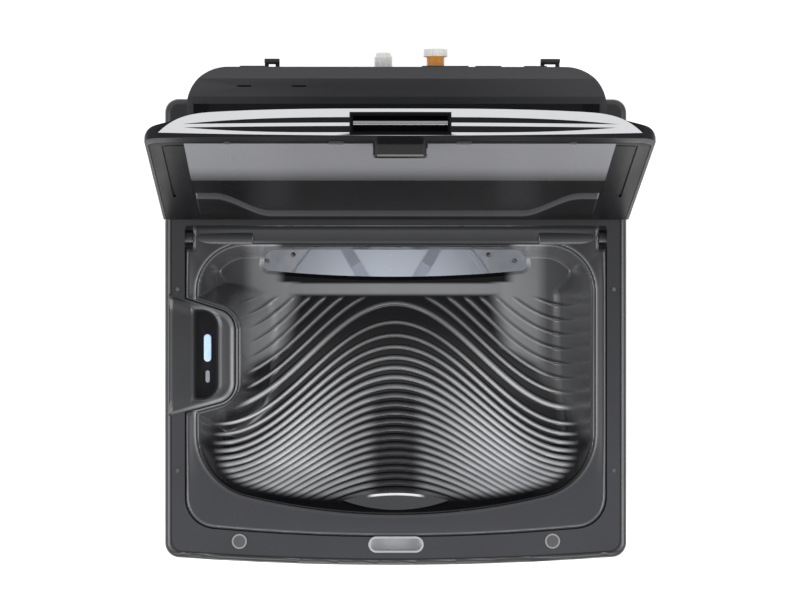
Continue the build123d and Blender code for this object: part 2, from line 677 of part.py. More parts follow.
def lid_chrome_trim():
    trim = crescent(3.0, 0, 2.0, 1.2) - handle_hole(2.0)
    return trim - trim_slot(6.4, 292, 7.4) - trim_slot(1.8, 290, -8.6)


def handle_hole(grow=0.0):
    return block(-66 - grow, 66 + grow, -LID_LENGTH - 5, -LID_LENGTH + 17, -9 - grow, 19 + grow)


def lid_handle_insert():
    cup = block(-66, 66, -LID_LENGTH - 0.5, -LID_LENGTH + 17, -9, 19)
    cup -= block(-63, 63, -LID_LENGTH - 6, -LID_LENGTH + 14, -6, 16)
    return cup


def handle_grip():
    grip = block(-63, 63, -LID_LENGTH - 1.5, -LID_LENGTH + 5, 3, 9)
    grip = fillet(grip.edges().filter_by(Axis.X), 1.6)
    return grip


def lid_outer_glass():
    face = fillet(Rectangle(559.6, 349.6).vertices(), 25.8)
    pane = (Pos(0, -305) * prism(face, -40, 60)) & lid_volume(0.3)
    return pane - extrude(lid_profile(LID_SKIN), amount=600, both=True)


def lid_inner_frame():
    plate = prism(lid_plan(LID_SKIN + 1, LID_FRONT_BEAM + 1), LID_INNER, LID_INNER + 6)
    plate -= prism(window_face(-6), LID_INNER - 1, LID_INNER + 7)
    plate -= prism(window_face(), LID_INNER - 1, LID_INNER + 3)
    groove = prism(lid_plan(22, 40), LID_INNER - 1, LID_INNER + 2.4)
    groove -= prism(lid_plan(26, 44), LID_INNER - 2, LID_INNER + 4)
    plate -= groove & block(-400, 400, -470, -160, -30, 30)
    latch = LATCH_Y - LID_HINGE_Y
    return plate - block(-30.2, 30.2, latch + 0.8, latch + 7.7, LID_INNER - 1, LID_INNER + 7)


def lid_inner_glass():
    return prism(window_face(-0.3), LID_INNER + 0.2, LID_INNER + 3)


def lid_latch_block():
    y = LATCH_Y - LID_HINGE_Y
    depth = 22.0
    blade = pill(74, 15, LID_INNER - depth, LID_INNER, 0, y)
    blade = chamfer(blade.edges().group_by(Axis.Z)[0], 2)
    blade += block(-30, 30, y + 1, y + 7.5, LID_INNER - 1, LID_INNER + 6)
    blade += block(-45, 45, y + 1, y + 20, LID_INNER + 6, LID_INNER + 10)
    blade -= block(-28, 28, y - 8.5, y - 6, LID_INNER - 17, LID_INNER - 4)
    return blade - block(22, 40, y - 5, y + 5, LID_INNER - 19, LID_INNER - 9)


def lid_stops():
    y = BUMPER_Y - LID_HINGE_Y
    stops = [prism(Pos(sx * BUMPER_X, y) * Circle(5), LID_INNER - 1.7, LID_INNER)
             for sx in (-1, 1)]
    for sx in (-1, 1):
        stops.append(block(sx * 86 - 10, sx * 86 + 10, y - 6, y + 2, LID_INNER - 2.5, LID_INNER))
    return stops


def lid_hinge_arms():
    arm = rod_x(7.5, HINGE_X - 5, HINGE_X + 5, 0, 0) + block(HINGE_X - 5, HINGE_X + 5, -60, 0, -5, 2)
    arm -= rod_x(4 + FIT, HINGE_X - 9, HINGE_X + 9, 0, 0)
    return both_sides(arm)


def opened(shape):
    place = Pos(0, LID_HINGE_Y, LID_HINGE_Z) * Rot(X=-LID_OPEN)
    return [place * piece for piece in (shape if isinstance(shape, list) else [shape])]


# ------------------------------------------------------------------ suspension
def rod_places():
    return [(sx * ROD_REACH + TUB_X, sy * ROD_REACH + TUB_Y) for sx in (-1, 1) for sy in (-1, 1)]


def at_rods(solid):
    return [Pos(x, y) * solid for x, y in rod_places()]


def suspension_brackets():
    plates = []
    for x, y in rod_places():
        sx = math.copysign(1, x)
        sy = math.copysign(1, y - TUB_Y)
        plate = Pos(x, y) * Rectangle(340, 340) & body_face(SHEET + FIT)
        keep = make_face(Polyline((x - 34 * sx, y + 400 * sy), (x - 34 * sx, y - 10 * sy),
                                  (x - 10 * sx, y - 34 * sy), (x + 400 * sx, y - 34 * sy),
                                  (x + 400 * sx, y + 400 * sy), close=True))
        gusset = prism(plate & keep, ROD_TOP_Z - 3, ROD_TOP_Z)
        plates.append(gusset - disc(ROD_R + 0.1, 800, 900, x, y)
                      - block(-323, 323, BODY_REAR - 9, BODY_REAR + 1, 800, 900))
    return plates


def suspension_rods():
    """Hanging rods, each with a ball head above its bracket and a spring cup near its foot."""
    ball = Pos(0, 0, ROD_TOP_Z) * Sphere(9.5)
    ball &= block(-20, 20, -20, 20, ROD_TOP_Z, ROD_TOP_Z + 12)
    cup = disc(24, SPRING_SEAT_Z - 4, SPRING_SEAT_Z) + disc(9, ROD_LOW_Z + 1, SPRING_SEAT_Z - 3)
    cup += tube(24, 21, SPRING_SEAT_Z - 4, SPRING_SEAT_Z + 8)
    return at_rods(disc(ROD_R, ROD_LOW_Z, ROD_TOP_Z + 1) + ball + cup)


def suspension_springs():
    wire = 2.4
    low = SPRING_SEAT_Z + wire + 0.1
    high = LUG_Z - wire - 0.1
    turn = Helix((high - low) / 8, high - low, 15)
    path = Pos(0, 0, low) * turn
    coil = sweep(Plane(path @ 0, z_dir=path % 0) * Circle(wire), path, is_frenet=True)
    return at_rods(coil)


# ------------------------------------------------------------------ tub, drum and drive
def at_tub(solid):
    return Pos(TUB_X, TUB_Y) * solid


def outer_tub():
    shell = tube(TUB_R, TUB_R - TUB_WALL, TUB_FLOOR_Z, TUB_TOP_Z)
    shell += tube(TUB_R, 62, TUB_FLOOR_Z, TUB_FLOOR_Z + 5)
    for rib in around(block(80, TUB_R - 1, -2, 2, TUB_FLOOR_Z - 12, TUB_FLOOR_Z), 12, start=15):
        shell += rib
    for turn in (45, 135, 225, 315):
        reach = ROD_REACH * math.sqrt(2)
        arm = block(TUB_R - 2, reach, -14, 14, LUG_Z, LUG_Z + 40) + disc(22, LUG_Z, LUG_Z + 40, reach)
        arm -= disc(ROD_R + 1.5, LUG_Z - 1, LUG_Z + 41, reach)
        shell += Rot(Z=turn) * arm
    shell += disc(24, TUB_FLOOR_Z - 16, TUB_FLOOR_Z + 1, PUMP_X, PUMP_Y - TUB_Y)
    shell -= disc(17, TUB_FLOOR_Z - 17, TUB_FLOOR_Z + 6, PUMP_X, PUMP_Y - TUB_Y)
    return at_tub(shell)


def tub_cover():
    ring = tube(TUB_R + 2, MOUTH_R - 8, TUB_TOP_Z, TUB_TOP_Z + 7)
    ring += tube(TUB_R + 2, TUB_R + 0.1, TUB_TOP_Z - 14, TUB_TOP_Z + 1)
    return at_tub(ring)


def bearing_housing():
    body = tube(61.9, 42, TUB_FLOOR_Z - 26, TUB_FLOOR_Z + 5)
    body += tube(48, 30, TUB_FLOOR_Z - 78, TUB_FLOOR_Z - 20)
    body -= disc(42, TUB_FLOOR_Z - 20, TUB_FLOOR_Z + 6)
    body -= disc(36, TUB_FLOOR_Z - 79, TUB_FLOOR_Z - 62)
    for rib in around(block(46, 60, -3, 3, TUB_FLOOR_Z - 33, TUB_FLOOR_Z - 25), 6):
        body += rib
    body += tube(96, 60, TUB_FLOOR_Z - 20, TUB_FLOOR_Z - 12.1)
    return at_tub(body)


def spin_bearings():
    upper = tube(42, 21, TUB_FLOOR_Z - 20, TUB_FLOOR_Z - 6)
    lower = tube(36, 21, TUB_FLOOR_Z - 78, TUB_FLOOR_Z - 64)
    races = []
    for ring, middle, outer in ((upper, TUB_FLOOR_Z - 6, 42), (lower, TUB_FLOOR_Z - 64, 36)):
        groove = tube(outer - 6, 27, middle - 1.5, middle + 1)
        races.append(at_tub(ring - groove))
    return races


def shaft_seal():
    seal = tube(42, 34, TUB_FLOOR_Z - 6, TUB_FLOOR_Z + 4) + tube(35, 21 + FIT, TUB_FLOOR_Z, TUB_FLOOR_Z + 4)
    return at_tub(seal)


def stator():
    """Toothed core with a coil on each tooth."""
    core = tube(72, 48.5, 172, 198)
    for tooth in around(block(70, 96, -3.2, 3.2, 174, 196), 24):
        core += tooth
    for shoe in around(block(93, 97, -9, 9, 174, 196), 24):
        core += shoe
    coil = block(75, 91, -7.5, 7.5, 171, 199) - block(74, 92, -3.3, 3.3, 173.9, 196.1)
    return [at_tub(piece) for piece in [core] + around(coil, 24)]


def rotor():
    """Steel rotor cup with its ring of bonded magnets."""
    cup = tube(112, 109, 140, 200) + disc(112, 138, 141) + disc(24, 126, 150)
    for hole in around(disc(9, 130, 145, 62), 8):
        cup -= hole
    magnet = tube(109, 101, 172, 198) & block(90, 115, -10, 10, 160, 210)
    return [at_tub(piece) for piece in [cup - disc(9, 120, 151)] + around(magnet, 24)]


def drive_shaft():
    shaft = disc(9, 118, DRUM_FLOOR_Z + 34)
    return at_tub(shaft)


def drum_hub():
    """Three-armed hub under the drum, cast on its hollow spin shaft."""
    hub = disc(58, DRUM_FLOOR_Z - 16, DRUM_FLOOR_Z - 0.2)
    hub += disc(21 - FIT, 152, DRUM_FLOOR_Z + 4)
    for arm in around(block(50, 240, -22, 22, DRUM_FLOOR_Z - 12, DRUM_FLOOR_Z - 4), 3, start=30):
        hub += arm
    return at_tub(hub - disc(9 + FIT, 150, 300))


def drum_floor():
    floor = tube(DRUM_R - DRUM_WALL, 21 - FIT, DRUM_FLOOR_Z - 0.2, DRUM_FLOOR_Z + 2)
    floor += tube(DRUM_R - DRUM_WALL, DRUM_R - 4, DRUM_FLOOR_Z, DRUM_FLOOR_Z + 16)
    holes = around(disc(4, 200, 300, 206), 20) + around(disc(4, 200, 300, 238), 26)
    return at_tub(floor - holes)


def drum_shell():
    shell = tube(DRUM_R, DRUM_R - DRUM_WALL, DRUM_FLOOR_Z - 2, DRUM_TOP_Z)
    holes = []
    for row in range(8):
        z = DRUM_FLOOR_Z + 48 + 62 * row
        hole = rod_x(3.5, DRUM_R - 10, DRUM_R + 10, 0, z)
        holes += around(hole, 16, start=11.25 * (row % 2))
    return at_tub(shell - holes)


def balance_ring():
    ring = tube(DRUM_R + 2, DRUM_R - 34, DRUM_TOP_Z, BALANCE_TOP_Z)
    ring = fillet(ring.edges().group_by(Axis.Z)[-1], 8)
    return at_tub(ring)


def pulsator():
    """Ribbed pulsator plate with the cap over its fixing bolt."""
    base = DRUM_FLOOR_Z + 5
    plate = disc(PULSATOR_R, base, base + 6) + tube(PULSATOR_R, PULSATOR_R - 8, base, base + 12)
    plate += Pos(0, 0, base + 4) * Cone(70, 42, 26, align=(Align.CENTER, Align.CENTER, Align.MIN))
    vane = make_face(Polyline((30, base + 5), (PULSATOR_R - 14, base + 5), (PULSATOR_R - 26, base + 16),
                              (120, base + 20), (60, base + 36), (30, base + 36), close=True))
    vane = extrude(Plane.XZ * vane, amount=9, both=True)
    for turn in range(6):
        plate += Rot(Z=60 * turn) * vane
    for turn in range(6):
        for radius in (96, 120, 144, 168):
            spot = Rot(Z=60 * turn + 30) * Pos(radius, 0)
            plate -= spot * disc(3, base - 2, base + 8)
    plate -= disc(9, base - 2, base + 50) + disc(17, base + 22, base + 60)
    cap = disc(16.9, base + 29.2, base + 34)
    cap = fillet(cap.edges().group_by(Axis.Z)[-1], 3)
    return [at_tub(plate), at_tub(cap)]


def pump_body():
    top = TUB_FLOOR_Z - 16
    body = disc(40, top - 42, top, PUMP_X, PUMP_Y) + disc(30, top - 92, top - 40, PUMP_X, PUMP_Y)
    body += rod_x(13, PUMP_X, PUMP_X + 70, PUMP_Y, top - 26)
    body -= disc(31, top - 36, top - 8, PUMP_X, PUMP_Y)
    body -= disc(17, top - 20, top + 1, PUMP_X, PUMP_Y)
    body -= rod_x(10, PUMP_X + 20, PUMP_X + 71, PUMP_Y, top - 26)
    return body - disc(4 + FIT, top - 50, top - 30, PUMP_X, PUMP_Y)


def pump_impeller():
    top = TUB_FLOOR_Z - 16
    wheel = disc(9, top - 35, top - 14) + disc(4, top - 49, top - 34)
    for vane in around(block(6, 26, -1.5, 1.5, top - 34, top - 16), 4):
        wheel += vane
    return Pos(PUMP_X, PUMP_Y) * wheel


# ------------------------------------------------------------------ write the parts
sink_bowl_solid = sink_bowl()
PARTS = {
    "cabinet_wrap": cabinet_wrap(),
    "rear_panel": rear_panel(),
    "rear_screws": rear_screws(),
    "base_frame": base_frame(),
    "foot_pads": foot_pads(),
    "foot_studs": foot_studs(),
    "top_deck": top_deck(),
    "latch_cup": latch_cup(),
    "lid_lock_body": lid_lock_body(),
    "lid_lock_bolt": lid_lock_bolt(),
    "deck_bumpers": deck_bumpers(),
    "button_pocket": button_pocket(),
    "jet_button": jet_button(),
    "jet_icon_lens": jet_icon(),
    "hinge_brackets_and_pins": hinge_fixings(),
    "console_housing": console_housing(),
    "control_glass": control_glass(),
    "programme_dial": programme_dial(),
    "power_button": push_button(-230),
    "start_button": push_button(230),
    "control_board": control_board(),
    "inlet_valve": inlet_valve(),
    "cold_inlet": cold_inlet(),
    "hot_inlet": spigot(HOT_X, 371),
    "hot_cap": hot_cap(),
    "hose_hooks": hose_hooks(),
    "mains_gland": mains_gland(),
    "drain_outlet": drain_outlet(),
    "jet_feed": jet_feed(),
    "sink_bowl": sink_bowl_solid,
    "sink_frame": sink_frame(),
    "sink_grip": sink_grip(),
    "lid_outer_frame": opened(lid_outer_frame()),
    "lid_outer_glass": opened(lid_outer_glass()),
    "lid_inner_frame": opened(lid_inner_frame()),
    "lid_inner_glass": opened(lid_inner_glass()),
    "lid_chrome_trim": opened(lid_chrome_trim()),
    "lid_handle_insert": opened(lid_handle_insert()),
    "lid_handle_grip": opened(handle_grip()),
    "lid_latch_block": opened(lid_latch_block()),
    "lid_stops": opened(lid_stops()),
    "lid_hinge_arms": opened(lid_hinge_arms()),
    "suspension_brackets": suspension_brackets(),
    "suspension_rods": suspension_rods(),
    "suspension_springs": suspension_springs(),
    "outer_tub": outer_tub(),
    "tub_cover": tub_cover(),
    "bearing_housing": bearing_housing(),
    "spin_bearings": spin_bearings(),
    "shaft_seal": shaft_seal(),
    "stator": stator(),
    "rotor": rotor(),
    "drive_shaft": drive_shaft(),
    "drum_hub": drum_hub(),
    "drum_floor": drum_floor(),
    "drum_shell": drum_shell(),
    "balance_ring": balance_ring(),
    "pulsator": pulsator(),
    "pump_body": pump_body(),
    "pump_impeller": pump_impeller(),
}
os.makedirs("parts", exist_ok=True)
for node, shape in PARTS.items():
    save(node, shape)
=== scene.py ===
"""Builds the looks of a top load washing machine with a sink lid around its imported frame."""
import json
import math

import bpy
import numpy as np
from bpy.props import FloatProperty, FloatVectorProperty, IntProperty, PointerProperty
from mathutils import Matrix, Vector


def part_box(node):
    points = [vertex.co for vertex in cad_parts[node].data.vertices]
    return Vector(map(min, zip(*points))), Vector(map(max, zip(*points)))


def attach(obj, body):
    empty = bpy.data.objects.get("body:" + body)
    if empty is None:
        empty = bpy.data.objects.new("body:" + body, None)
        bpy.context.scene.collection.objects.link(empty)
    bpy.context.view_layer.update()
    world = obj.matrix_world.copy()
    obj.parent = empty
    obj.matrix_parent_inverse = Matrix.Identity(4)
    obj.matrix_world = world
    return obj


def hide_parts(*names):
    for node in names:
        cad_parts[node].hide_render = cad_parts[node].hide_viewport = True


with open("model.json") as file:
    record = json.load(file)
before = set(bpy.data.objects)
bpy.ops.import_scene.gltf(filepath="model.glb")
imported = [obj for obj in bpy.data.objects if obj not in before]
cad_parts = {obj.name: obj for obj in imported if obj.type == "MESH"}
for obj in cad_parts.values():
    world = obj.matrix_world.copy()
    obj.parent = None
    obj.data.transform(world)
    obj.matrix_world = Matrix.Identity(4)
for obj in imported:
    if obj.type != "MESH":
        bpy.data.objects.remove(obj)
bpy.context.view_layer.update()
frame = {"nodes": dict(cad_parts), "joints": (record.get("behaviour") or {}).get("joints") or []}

bl_info = {
    "name": "Top Load Washer",
    "version": (1, 0, 0),
    "blender": (4, 5, 0),
    "location": "View3D > Sidebar > Washer",
    "description": "Builds a top load washing machine's surfaces and finishes around its frame",
    "category": "Object",
}

NODES = frame["nodes"]
BOWL_LOW, BOWL_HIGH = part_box("sink_bowl")
FLANGE_LOW, FLANGE_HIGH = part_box("sink_frame")
FLANGE_TOP = FLANGE_HIGH.z - 0.004
DECK_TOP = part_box("top_deck")[1][2]
LID_JOINT = next(joint for joint in frame["joints"] if joint["name"] == "outer_lid_hinge")
LID_HINGE = Vector(LID_JOINT["pos_m"])
LID_OPEN = math.radians(-LID_JOINT["range_deg"][0])


# ---------------------------------------------------------------- shader building
class Value:
    """A shader value that ordinary Python sums can be written with."""

    def __init__(self, paint, socket):
        self.paint = paint
        self.socket = socket

    def maths(self, operation, first, second=None):
        inputs = {0: first} if second is None else {0: first, 1: second}
        return self.paint.node("ShaderNodeMath", {"operation": operation}, inputs)

    def __add__(self, other):
        return self.maths("ADD", self, other)

    def __radd__(self, other):
        return self.maths("ADD", other, self)

    def __sub__(self, other):
        return self.maths("SUBTRACT", self, other)

    def __rsub__(self, other):
        return self.maths("SUBTRACT", other, self)

    def __mul__(self, other):
        return self.maths("MULTIPLY", self, other)

    def __rmul__(self, other):
        return self.maths("MULTIPLY", other, self)

    def __truediv__(self, other):
        return self.maths("DIVIDE", self, other)

    def __rtruediv__(self, other):
        return self.maths("DIVIDE", other, self)

    def __pow__(self, other):
        return self.maths("POWER", self, other)

    def between(self, low, high):
        """0 below low and 1 above high, smooth in between; high may be under low."""
        settings = {"interpolation_type": "SMOOTHSTEP"}
        if low > high:
            return 1 - self.between(high, low)
        return self.paint.node("ShaderNodeMapRange", settings, {0: self, 1: low, 2: high, 3: 0.0, 4: 1.0})


class Paint:
    """One material's node tree, with a principled shader at its end."""

    def __init__(self, name, metallic=0.0, coat=0.0, coat_roughness=0.03, specular=0.5):
        self.material = bpy.data.materials.new(name)
        self.material.use_nodes = True
        self.tree = self.material.node_tree
        self.tree.nodes.clear()
        self.shader = self.tree.nodes.new("ShaderNodeBsdfPrincipled")
        output = self.tree.nodes.new("ShaderNodeOutputMaterial")
        self.tree.links.new(self.shader.outputs[0], output.inputs[0])
        self.set("Metallic", metallic)
        self.set("Specular IOR Level", specular)
        self.set("Coat Weight", coat)
        self.set("Coat Roughness", coat_roughness)

    def feed(self, socket, value):
        if isinstance(value, Value):
            self.tree.links.new(value.socket, socket)
        elif isinstance(value, (tuple, list)) and len(value) == 3 and socket.type == "RGBA":
            socket.default_value = (*value, 1.0)
        else:
            socket.default_value = value

    def set(self, name, value):
        self.feed(self.shader.inputs[name], value)

    def node(self, kind, settings=None, inputs=None, output=0):
        made = self.tree.nodes.new(kind)
        for key, value in (settings or {}).items():
            if key == "stops":
                self.set_stops(made.color_ramp, value)
            else:
                setattr(made, key, value)
        for key, value in (inputs or {}).items():
            self.feed(made.inputs[key], value)
        return Value(self, made.outputs[output])

    @staticmethod
    def set_stops(ramp, stops):
        while len(ramp.elements) < len(stops):
            ramp.elements.new(0.5)
        for element, (place, colour) in zip(ramp.elements, stops):
            element.position = place
            element.color = (*colour, 1.0)

    def place(self):
        return self.node("ShaderNodeTexCoord", output="Object")

    def axis(self, name):
        return self.node("ShaderNodeSeparateXYZ", inputs={0: self.place()}, output=name)

    def noise(self, scale, detail=3.0, stretch=(1, 1, 1), roughness=0.5):
        spot = self.node("ShaderNodeMapping", inputs={"Vector": self.place(), "Scale": stretch})
        settings = {"Vector": spot, "Scale": scale, "Detail": detail, "Roughness": roughness}
        return self.node("ShaderNodeTexNoise", inputs=settings)

    def edges(self, low=0.52, high=0.62):
        """1 on the outside edges of a shape and 0 elsewhere."""
        return self.node("ShaderNodeNewGeometry", output="Pointiness").between(low, high)

    def mix(self, factor, first, second):
        made = self.tree.nodes.new("ShaderNodeMix")
        made.data_type = "RGBA"
        for index, value in ((0, factor), (6, first), (7, second)):
            self.feed(made.inputs[index], value)
        return Value(self, made.outputs[2])

    def bump(self, height, strength=0.2, distance=0.0005):
        normal = self.node("ShaderNodeBump", inputs={"Height": height, "Strength": strength,
                                                     "Distance": distance})
        self.set("Normal", normal)


def tinted(colour, share):
    return tuple(min(1.0, part * share) for part in colour)


# ---------------------------------------------------------------- finishes
def moulded_plastic(name, colour, roughness=0.32, grain=900.0, depth=0.10, coat=0.0, specular=0.5):
    """Injection-moulded plastic: fine grain, slow colour drift, rubbed edges and smudges."""
    paint = Paint(name, coat=coat, specular=specular)
    drift = paint.noise(3.5, 2.0)
    smudge = paint.noise(11.0, 4.0)
    body = paint.mix(drift, tinted(colour, 0.88), tinted(colour, 1.12))
    paint.set("Base Color", paint.mix(paint.edges() * 0.35, body, tinted(colour, 2.2)))
    paint.set("Roughness", roughness - 0.05 + smudge * 0.12 + paint.edges() * 0.08)
    paint.bump(paint.noise(grain, 2.0), depth, 0.0002)
    return paint.material


def enamelled_steel(name, colour):
    """Stoved enamel on sheet steel, with a faint orange-peel ripple."""
    paint = Paint(name, coat=0.35, coat_roughness=0.12)
    drift = paint.noise(2.0, 2.0)
    body = paint.mix(drift, tinted(colour, 0.9), tinted(colour, 1.15))
    paint.set("Base Color", paint.mix(paint.edges() * 0.3, body, tinted(colour, 2.0)))
    paint.set("Roughness", 0.34 + paint.noise(24.0, 3.0) * 0.10)
    paint.bump(paint.noise(260.0, 2.0), 0.12, 0.0003)
    return paint.material


def zinc_sheet(name, colour):
    """Galvanised sheet with soft crystal spangle."""
    paint = Paint(name, metallic=0.8)
    spot = paint.node("ShaderNodeMapping", inputs={"Vector": paint.place(), "Scale": (1, 1, 1)})
    spangle = paint.node("ShaderNodeTexVoronoi", inputs={"Vector": spot, "Scale": 90.0})
    body = paint.mix(spangle, tinted(colour, 0.85), tinted(colour, 1.2))
    paint.set("Base Color", paint.mix(paint.edges() * 0.4, body, tinted(colour, 1.7)))
    paint.set("Roughness", 0.38 + spangle * 0.16)
    paint.bump(paint.noise(300.0, 2.0), 0.06, 0.0002)
    return paint.material


def brushed_metal(name, colour, roughness=0.24, stretch=(1, 1, 40)):
    """Drawn or brushed metal with fine lines along one way."""
    paint = Paint(name, metallic=1.0)
    lines = paint.noise(60.0, 4.0, stretch)
    paint.set("Base Color", paint.mix(lines, tinted(colour, 0.86), tinted(colour, 1.1)))
    paint.set("Roughness", roughness + lines * 0.14 + paint.noise(7.0, 2.0) * 0.06)
    paint.bump(lines, 0.08, 0.0002)
    return paint.material


def satin_chrome(name, colour=(0.80, 0.81, 0.83), roughness=0.13):
    """Plated trim, nearly smooth, with a slight haze."""
    paint = Paint(name, metallic=1.0)
    haze = paint.noise(18.0, 3.0)
    paint.set("Base Color", paint.mix(haze, tinted(colour, 0.94), tinted(colour, 1.05)))
    paint.set("Roughness", roughness + haze * 0.06)
    paint.bump(paint.noise(700.0, 1.0), 0.03, 0.0001)
    return paint.material


def moulded_rubber(name, colour=(0.022, 0.022, 0.023)):
    """Matt rubber with a chalky bloom."""
    paint = Paint(name)
    bloom = paint.noise(40.0, 4.0)
    paint.set("Base Color", paint.mix(bloom, colour, tinted(colour, 1.8)))
    paint.set("Roughness", 0.66 + bloom * 0.16)
    paint.bump(paint.noise(600.0, 3.0), 0.25, 0.0003)
    return paint.material


def lit_plastic(name, colour, glow, strength):
    """Back-lit translucent lens with a mottled glow."""
    paint = Paint(name, coat=0.6)
    mottle = paint.noise(140.0, 2.0)
    paint.set("Base Color", paint.mix(mottle, colour, tinted(colour, 1.15)))
    paint.set("Emission Color", paint.mix(mottle, glow, tinted(glow, 1.2)))
    paint.set("Emission Strength", strength)
    paint.set("Roughness", 0.22 + mottle * 0.1)
    paint.bump(paint.noise(500.0, 1.0), 0.03, 0.0001)
    return paint.material


REAR_SHADE_RUN = (-0.30, 0.10)  # painted shade: the deck darkens from front to rear between these
OUTER_EDGE = (0.3325, 0.3375)  # where its sides turn down; painted dark there as shade
FRONT_EDGE = (-0.3745, -0.3695)  # where its front turns down, on the middle line; painted dark there as shade
FRONT_CURVE = 0.11  # bow of that front edge


def deck_plastic(name, colour, lit):
    """Semi-gloss moulded deck with painted shade, darker towards the rear and near black where its sides
    and front turn down, and painted highlight lines where a lip turns over.
    """
    paint = Paint(name, coat=0.25, coat_roughness=0.10)
    tone = paint.node("ShaderNodeAttribute", {"attribute_name": "tone"}, output="Fac")
    across = paint.node("ShaderNodeMath", {"operation": "ABSOLUTE"}, {0: paint.axis("X")})
    along = paint.axis("Y")
    # painted shade: darker from the front towards the rear
    rear_shade = along.between(*REAR_SHADE_RUN) * 0.45
    # masks for painted shade where the sides and the front turn down
    outer = across.between(*OUTER_EDGE)
    rim = 1 - (along - across * across * FRONT_CURVE).between(*FRONT_EDGE)
    drift = paint.noise(3.5, 2.0)
    body = paint.mix(drift, tinted(colour, 0.92), tinted(colour, 1.1))
    body = paint.mix(rear_shade, body, tinted(colour, 0.2))
    # painted shade: near black where the sides and front turn down
    body = paint.mix((outer + rim).between(0.0, 1.0) * 0.8, body, (0.006, 0.006, 0.007))
    # painted highlight: the stored painted light mixes in the lit colour
    paint.set("Base Color", paint.mix(tone, body, lit))
    smudge = paint.noise(11.0, 4.0)
    paint.set("Roughness", 0.26 + smudge * 0.12)
    paint.bump(paint.noise(1400.0, 2.0), 0.04, 0.0002)
    return paint.material


def edged_grip(name, colour):
    """Dark plastic lens with a painted highlight line along the middle of its rear edge."""
    paint = Paint(name, coat=0.4)
    across, along = paint.axis("X"), paint.axis("Y")
    # painted highlight along the grip's rear edge, only near the middle
    line = (along + across * across * 1.81).between(-0.2790, -0.2775)
    middle = 1 - (across * across).between(0.0009, 0.0020)
    body = paint.mix(line * middle, colour, (0.62, 0.63, 0.65))
    paint.set("Base Color", body)
    paint.set("Roughness", 0.22 + paint.noise(14.0, 2.0) * 0.1)
    paint.bump(paint.noise(1200.0, 1.0), 0.03, 0.0001)
    return paint.material


def ringed_rubber(name, colour, ring):
    """Rubber buffer with a paler collar around it."""
    paint = Paint(name)
    across, along = paint.axis("X"), paint.axis("Y") + 0.346
    away = paint.node("ShaderNodeMath", {"operation": "ABSOLUTE"}, {0: across}) - 0.2325
    reach = (away * away + along * along) ** 0.5
    collar = reach.between(0.0086, 0.0092) * (1 - reach.between(0.0108, 0.0112))
    bloom = paint.noise(40.0, 3.0)
    paint.set("Base Color", paint.mix(collar, paint.mix(bloom, colour, tinted(colour, 1.5)), ring))
    paint.set("Roughness", 0.5 + bloom * 0.15)
    paint.bump(paint.noise(600.0, 2.0), 0.1, 0.0002)
    return paint.material


def cast_alloy(name, colour=(0.52, 0.53, 0.54)):
    """Die-cast alloy, grainy, with machined brightness on its edges."""
    paint = Paint(name, metallic=0.9)
    grain = paint.noise(160.0, 4.0)
    body = paint.mix(grain, tinted(colour, 0.8), tinted(colour, 1.15))
    paint.set("Base Color", paint.mix(paint.edges() * 0.5, body, (0.8, 0.8, 0.8)))
    paint.set("Roughness", 0.42 + grain * 0.18)
    paint.bump(grain, 0.25, 0.0004)
    return paint.material


def etched_board(name):
    """Circuit laminate with the ghost of its tracks."""
    paint = Paint(name, coat=0.4)
    tracks = paint.node("ShaderNodeTexBrick", {"offset": 0.37},
                        {"Vector": paint.place(), "Scale": 60.0, "Color1": (0.02, 0.12, 0.06, 1),
                         "Color2": (0.03, 0.17, 0.08, 1), "Mortar": (0.12, 0.30, 0.16, 1)})
    paint.set("Base Color", tracks)
    paint.set("Roughness", 0.35 + paint.noise(50.0, 2.0) * 0.15)
    paint.bump(paint.noise(200.0, 2.0), 0.1, 0.0002)
    return paint.material


# ---------------------------------------------------------------- settings
def length(label, default, note):
    return FloatProperty(name=label, description=note, default=default, min=0.0, subtype="DISTANCE",
                         unit="LENGTH", precision=4)


def colour(label, default, note):
    return FloatVectorProperty(name=label, description=note, default=default, size=3, min=0.0, max=1.0,
                               subtype="COLOR")


class WasherFinishes(bpy.types.PropertyGroup):
    """Colours of the washer's surfaces."""
    cabinet: colour("Cabinet", (0.012, 0.0125, 0.014), "Stoved enamel on the cabinet wrap")
    deck: colour("Deck", (0.036, 0.037, 0.041), "Moulded deck, sink flange and lid frame")
    console: colour("Console", (0.026, 0.0265, 0.029), "Rear cover and inner lid frame")
    black: colour("Black trim", (0.008, 0.008, 0.009), "Glossy black inserts")
    chrome: colour("Chrome", (0.80, 0.81, 0.83), "Plated trim of the lid and latch")
    smoke: colour("Smoked floor", (0.004, 0.004, 0.0048), "Sink bowl between its ribs")
    # painted highlight colour of the rib crests and of the pale bowl walls
    ridge: colour("Smoked ribs", (0.55, 0.56, 0.58), "Lit crests of the sink bowl's ribs")
    steel: colour("Drum steel", (0.62, 0.64, 0.68), "Spin drum and its floor")
    pulsator: colour("Pulsator", (0.55, 0.59, 0.66), "Silver pulsator under the drum's mouth")
    inlet: colour("Hot inlet", (0.80, 0.30, 0.03), "Orange hot water inlet")
    glow: colour("Jet light", (0.55, 0.75, 1.0), "Light inside the jet button")


class WasherSink(bpy.types.PropertyGroup):
    """Sizes of the sink bowl's moulded surface."""
    ribs: IntProperty(name="Ribs", description="Scrubbing ribs across the bowl", default=21, min=1)
    rib_height: length("Rib height", 0.003, "Height of a rib above the bowl's floor")
    rib_half: length("Rib half width", 0.0042, "Half the width of a rib at its foot")
    wall_run: length("Wall run", 0.058, "How far the side walls reach in before they meet the floor")
    wall: length("Wall", 0.0025, "Thickness of the bowl")
    step_x: length("Grid across", 0.0024, "Mesh spacing from side to side")
    step_y: length("Grid along", 0.0013, "Mesh spacing from front to back")
    ledge: length("Lid ledge", 0.0012, "How proud the ledge stands on the lid's inner side")


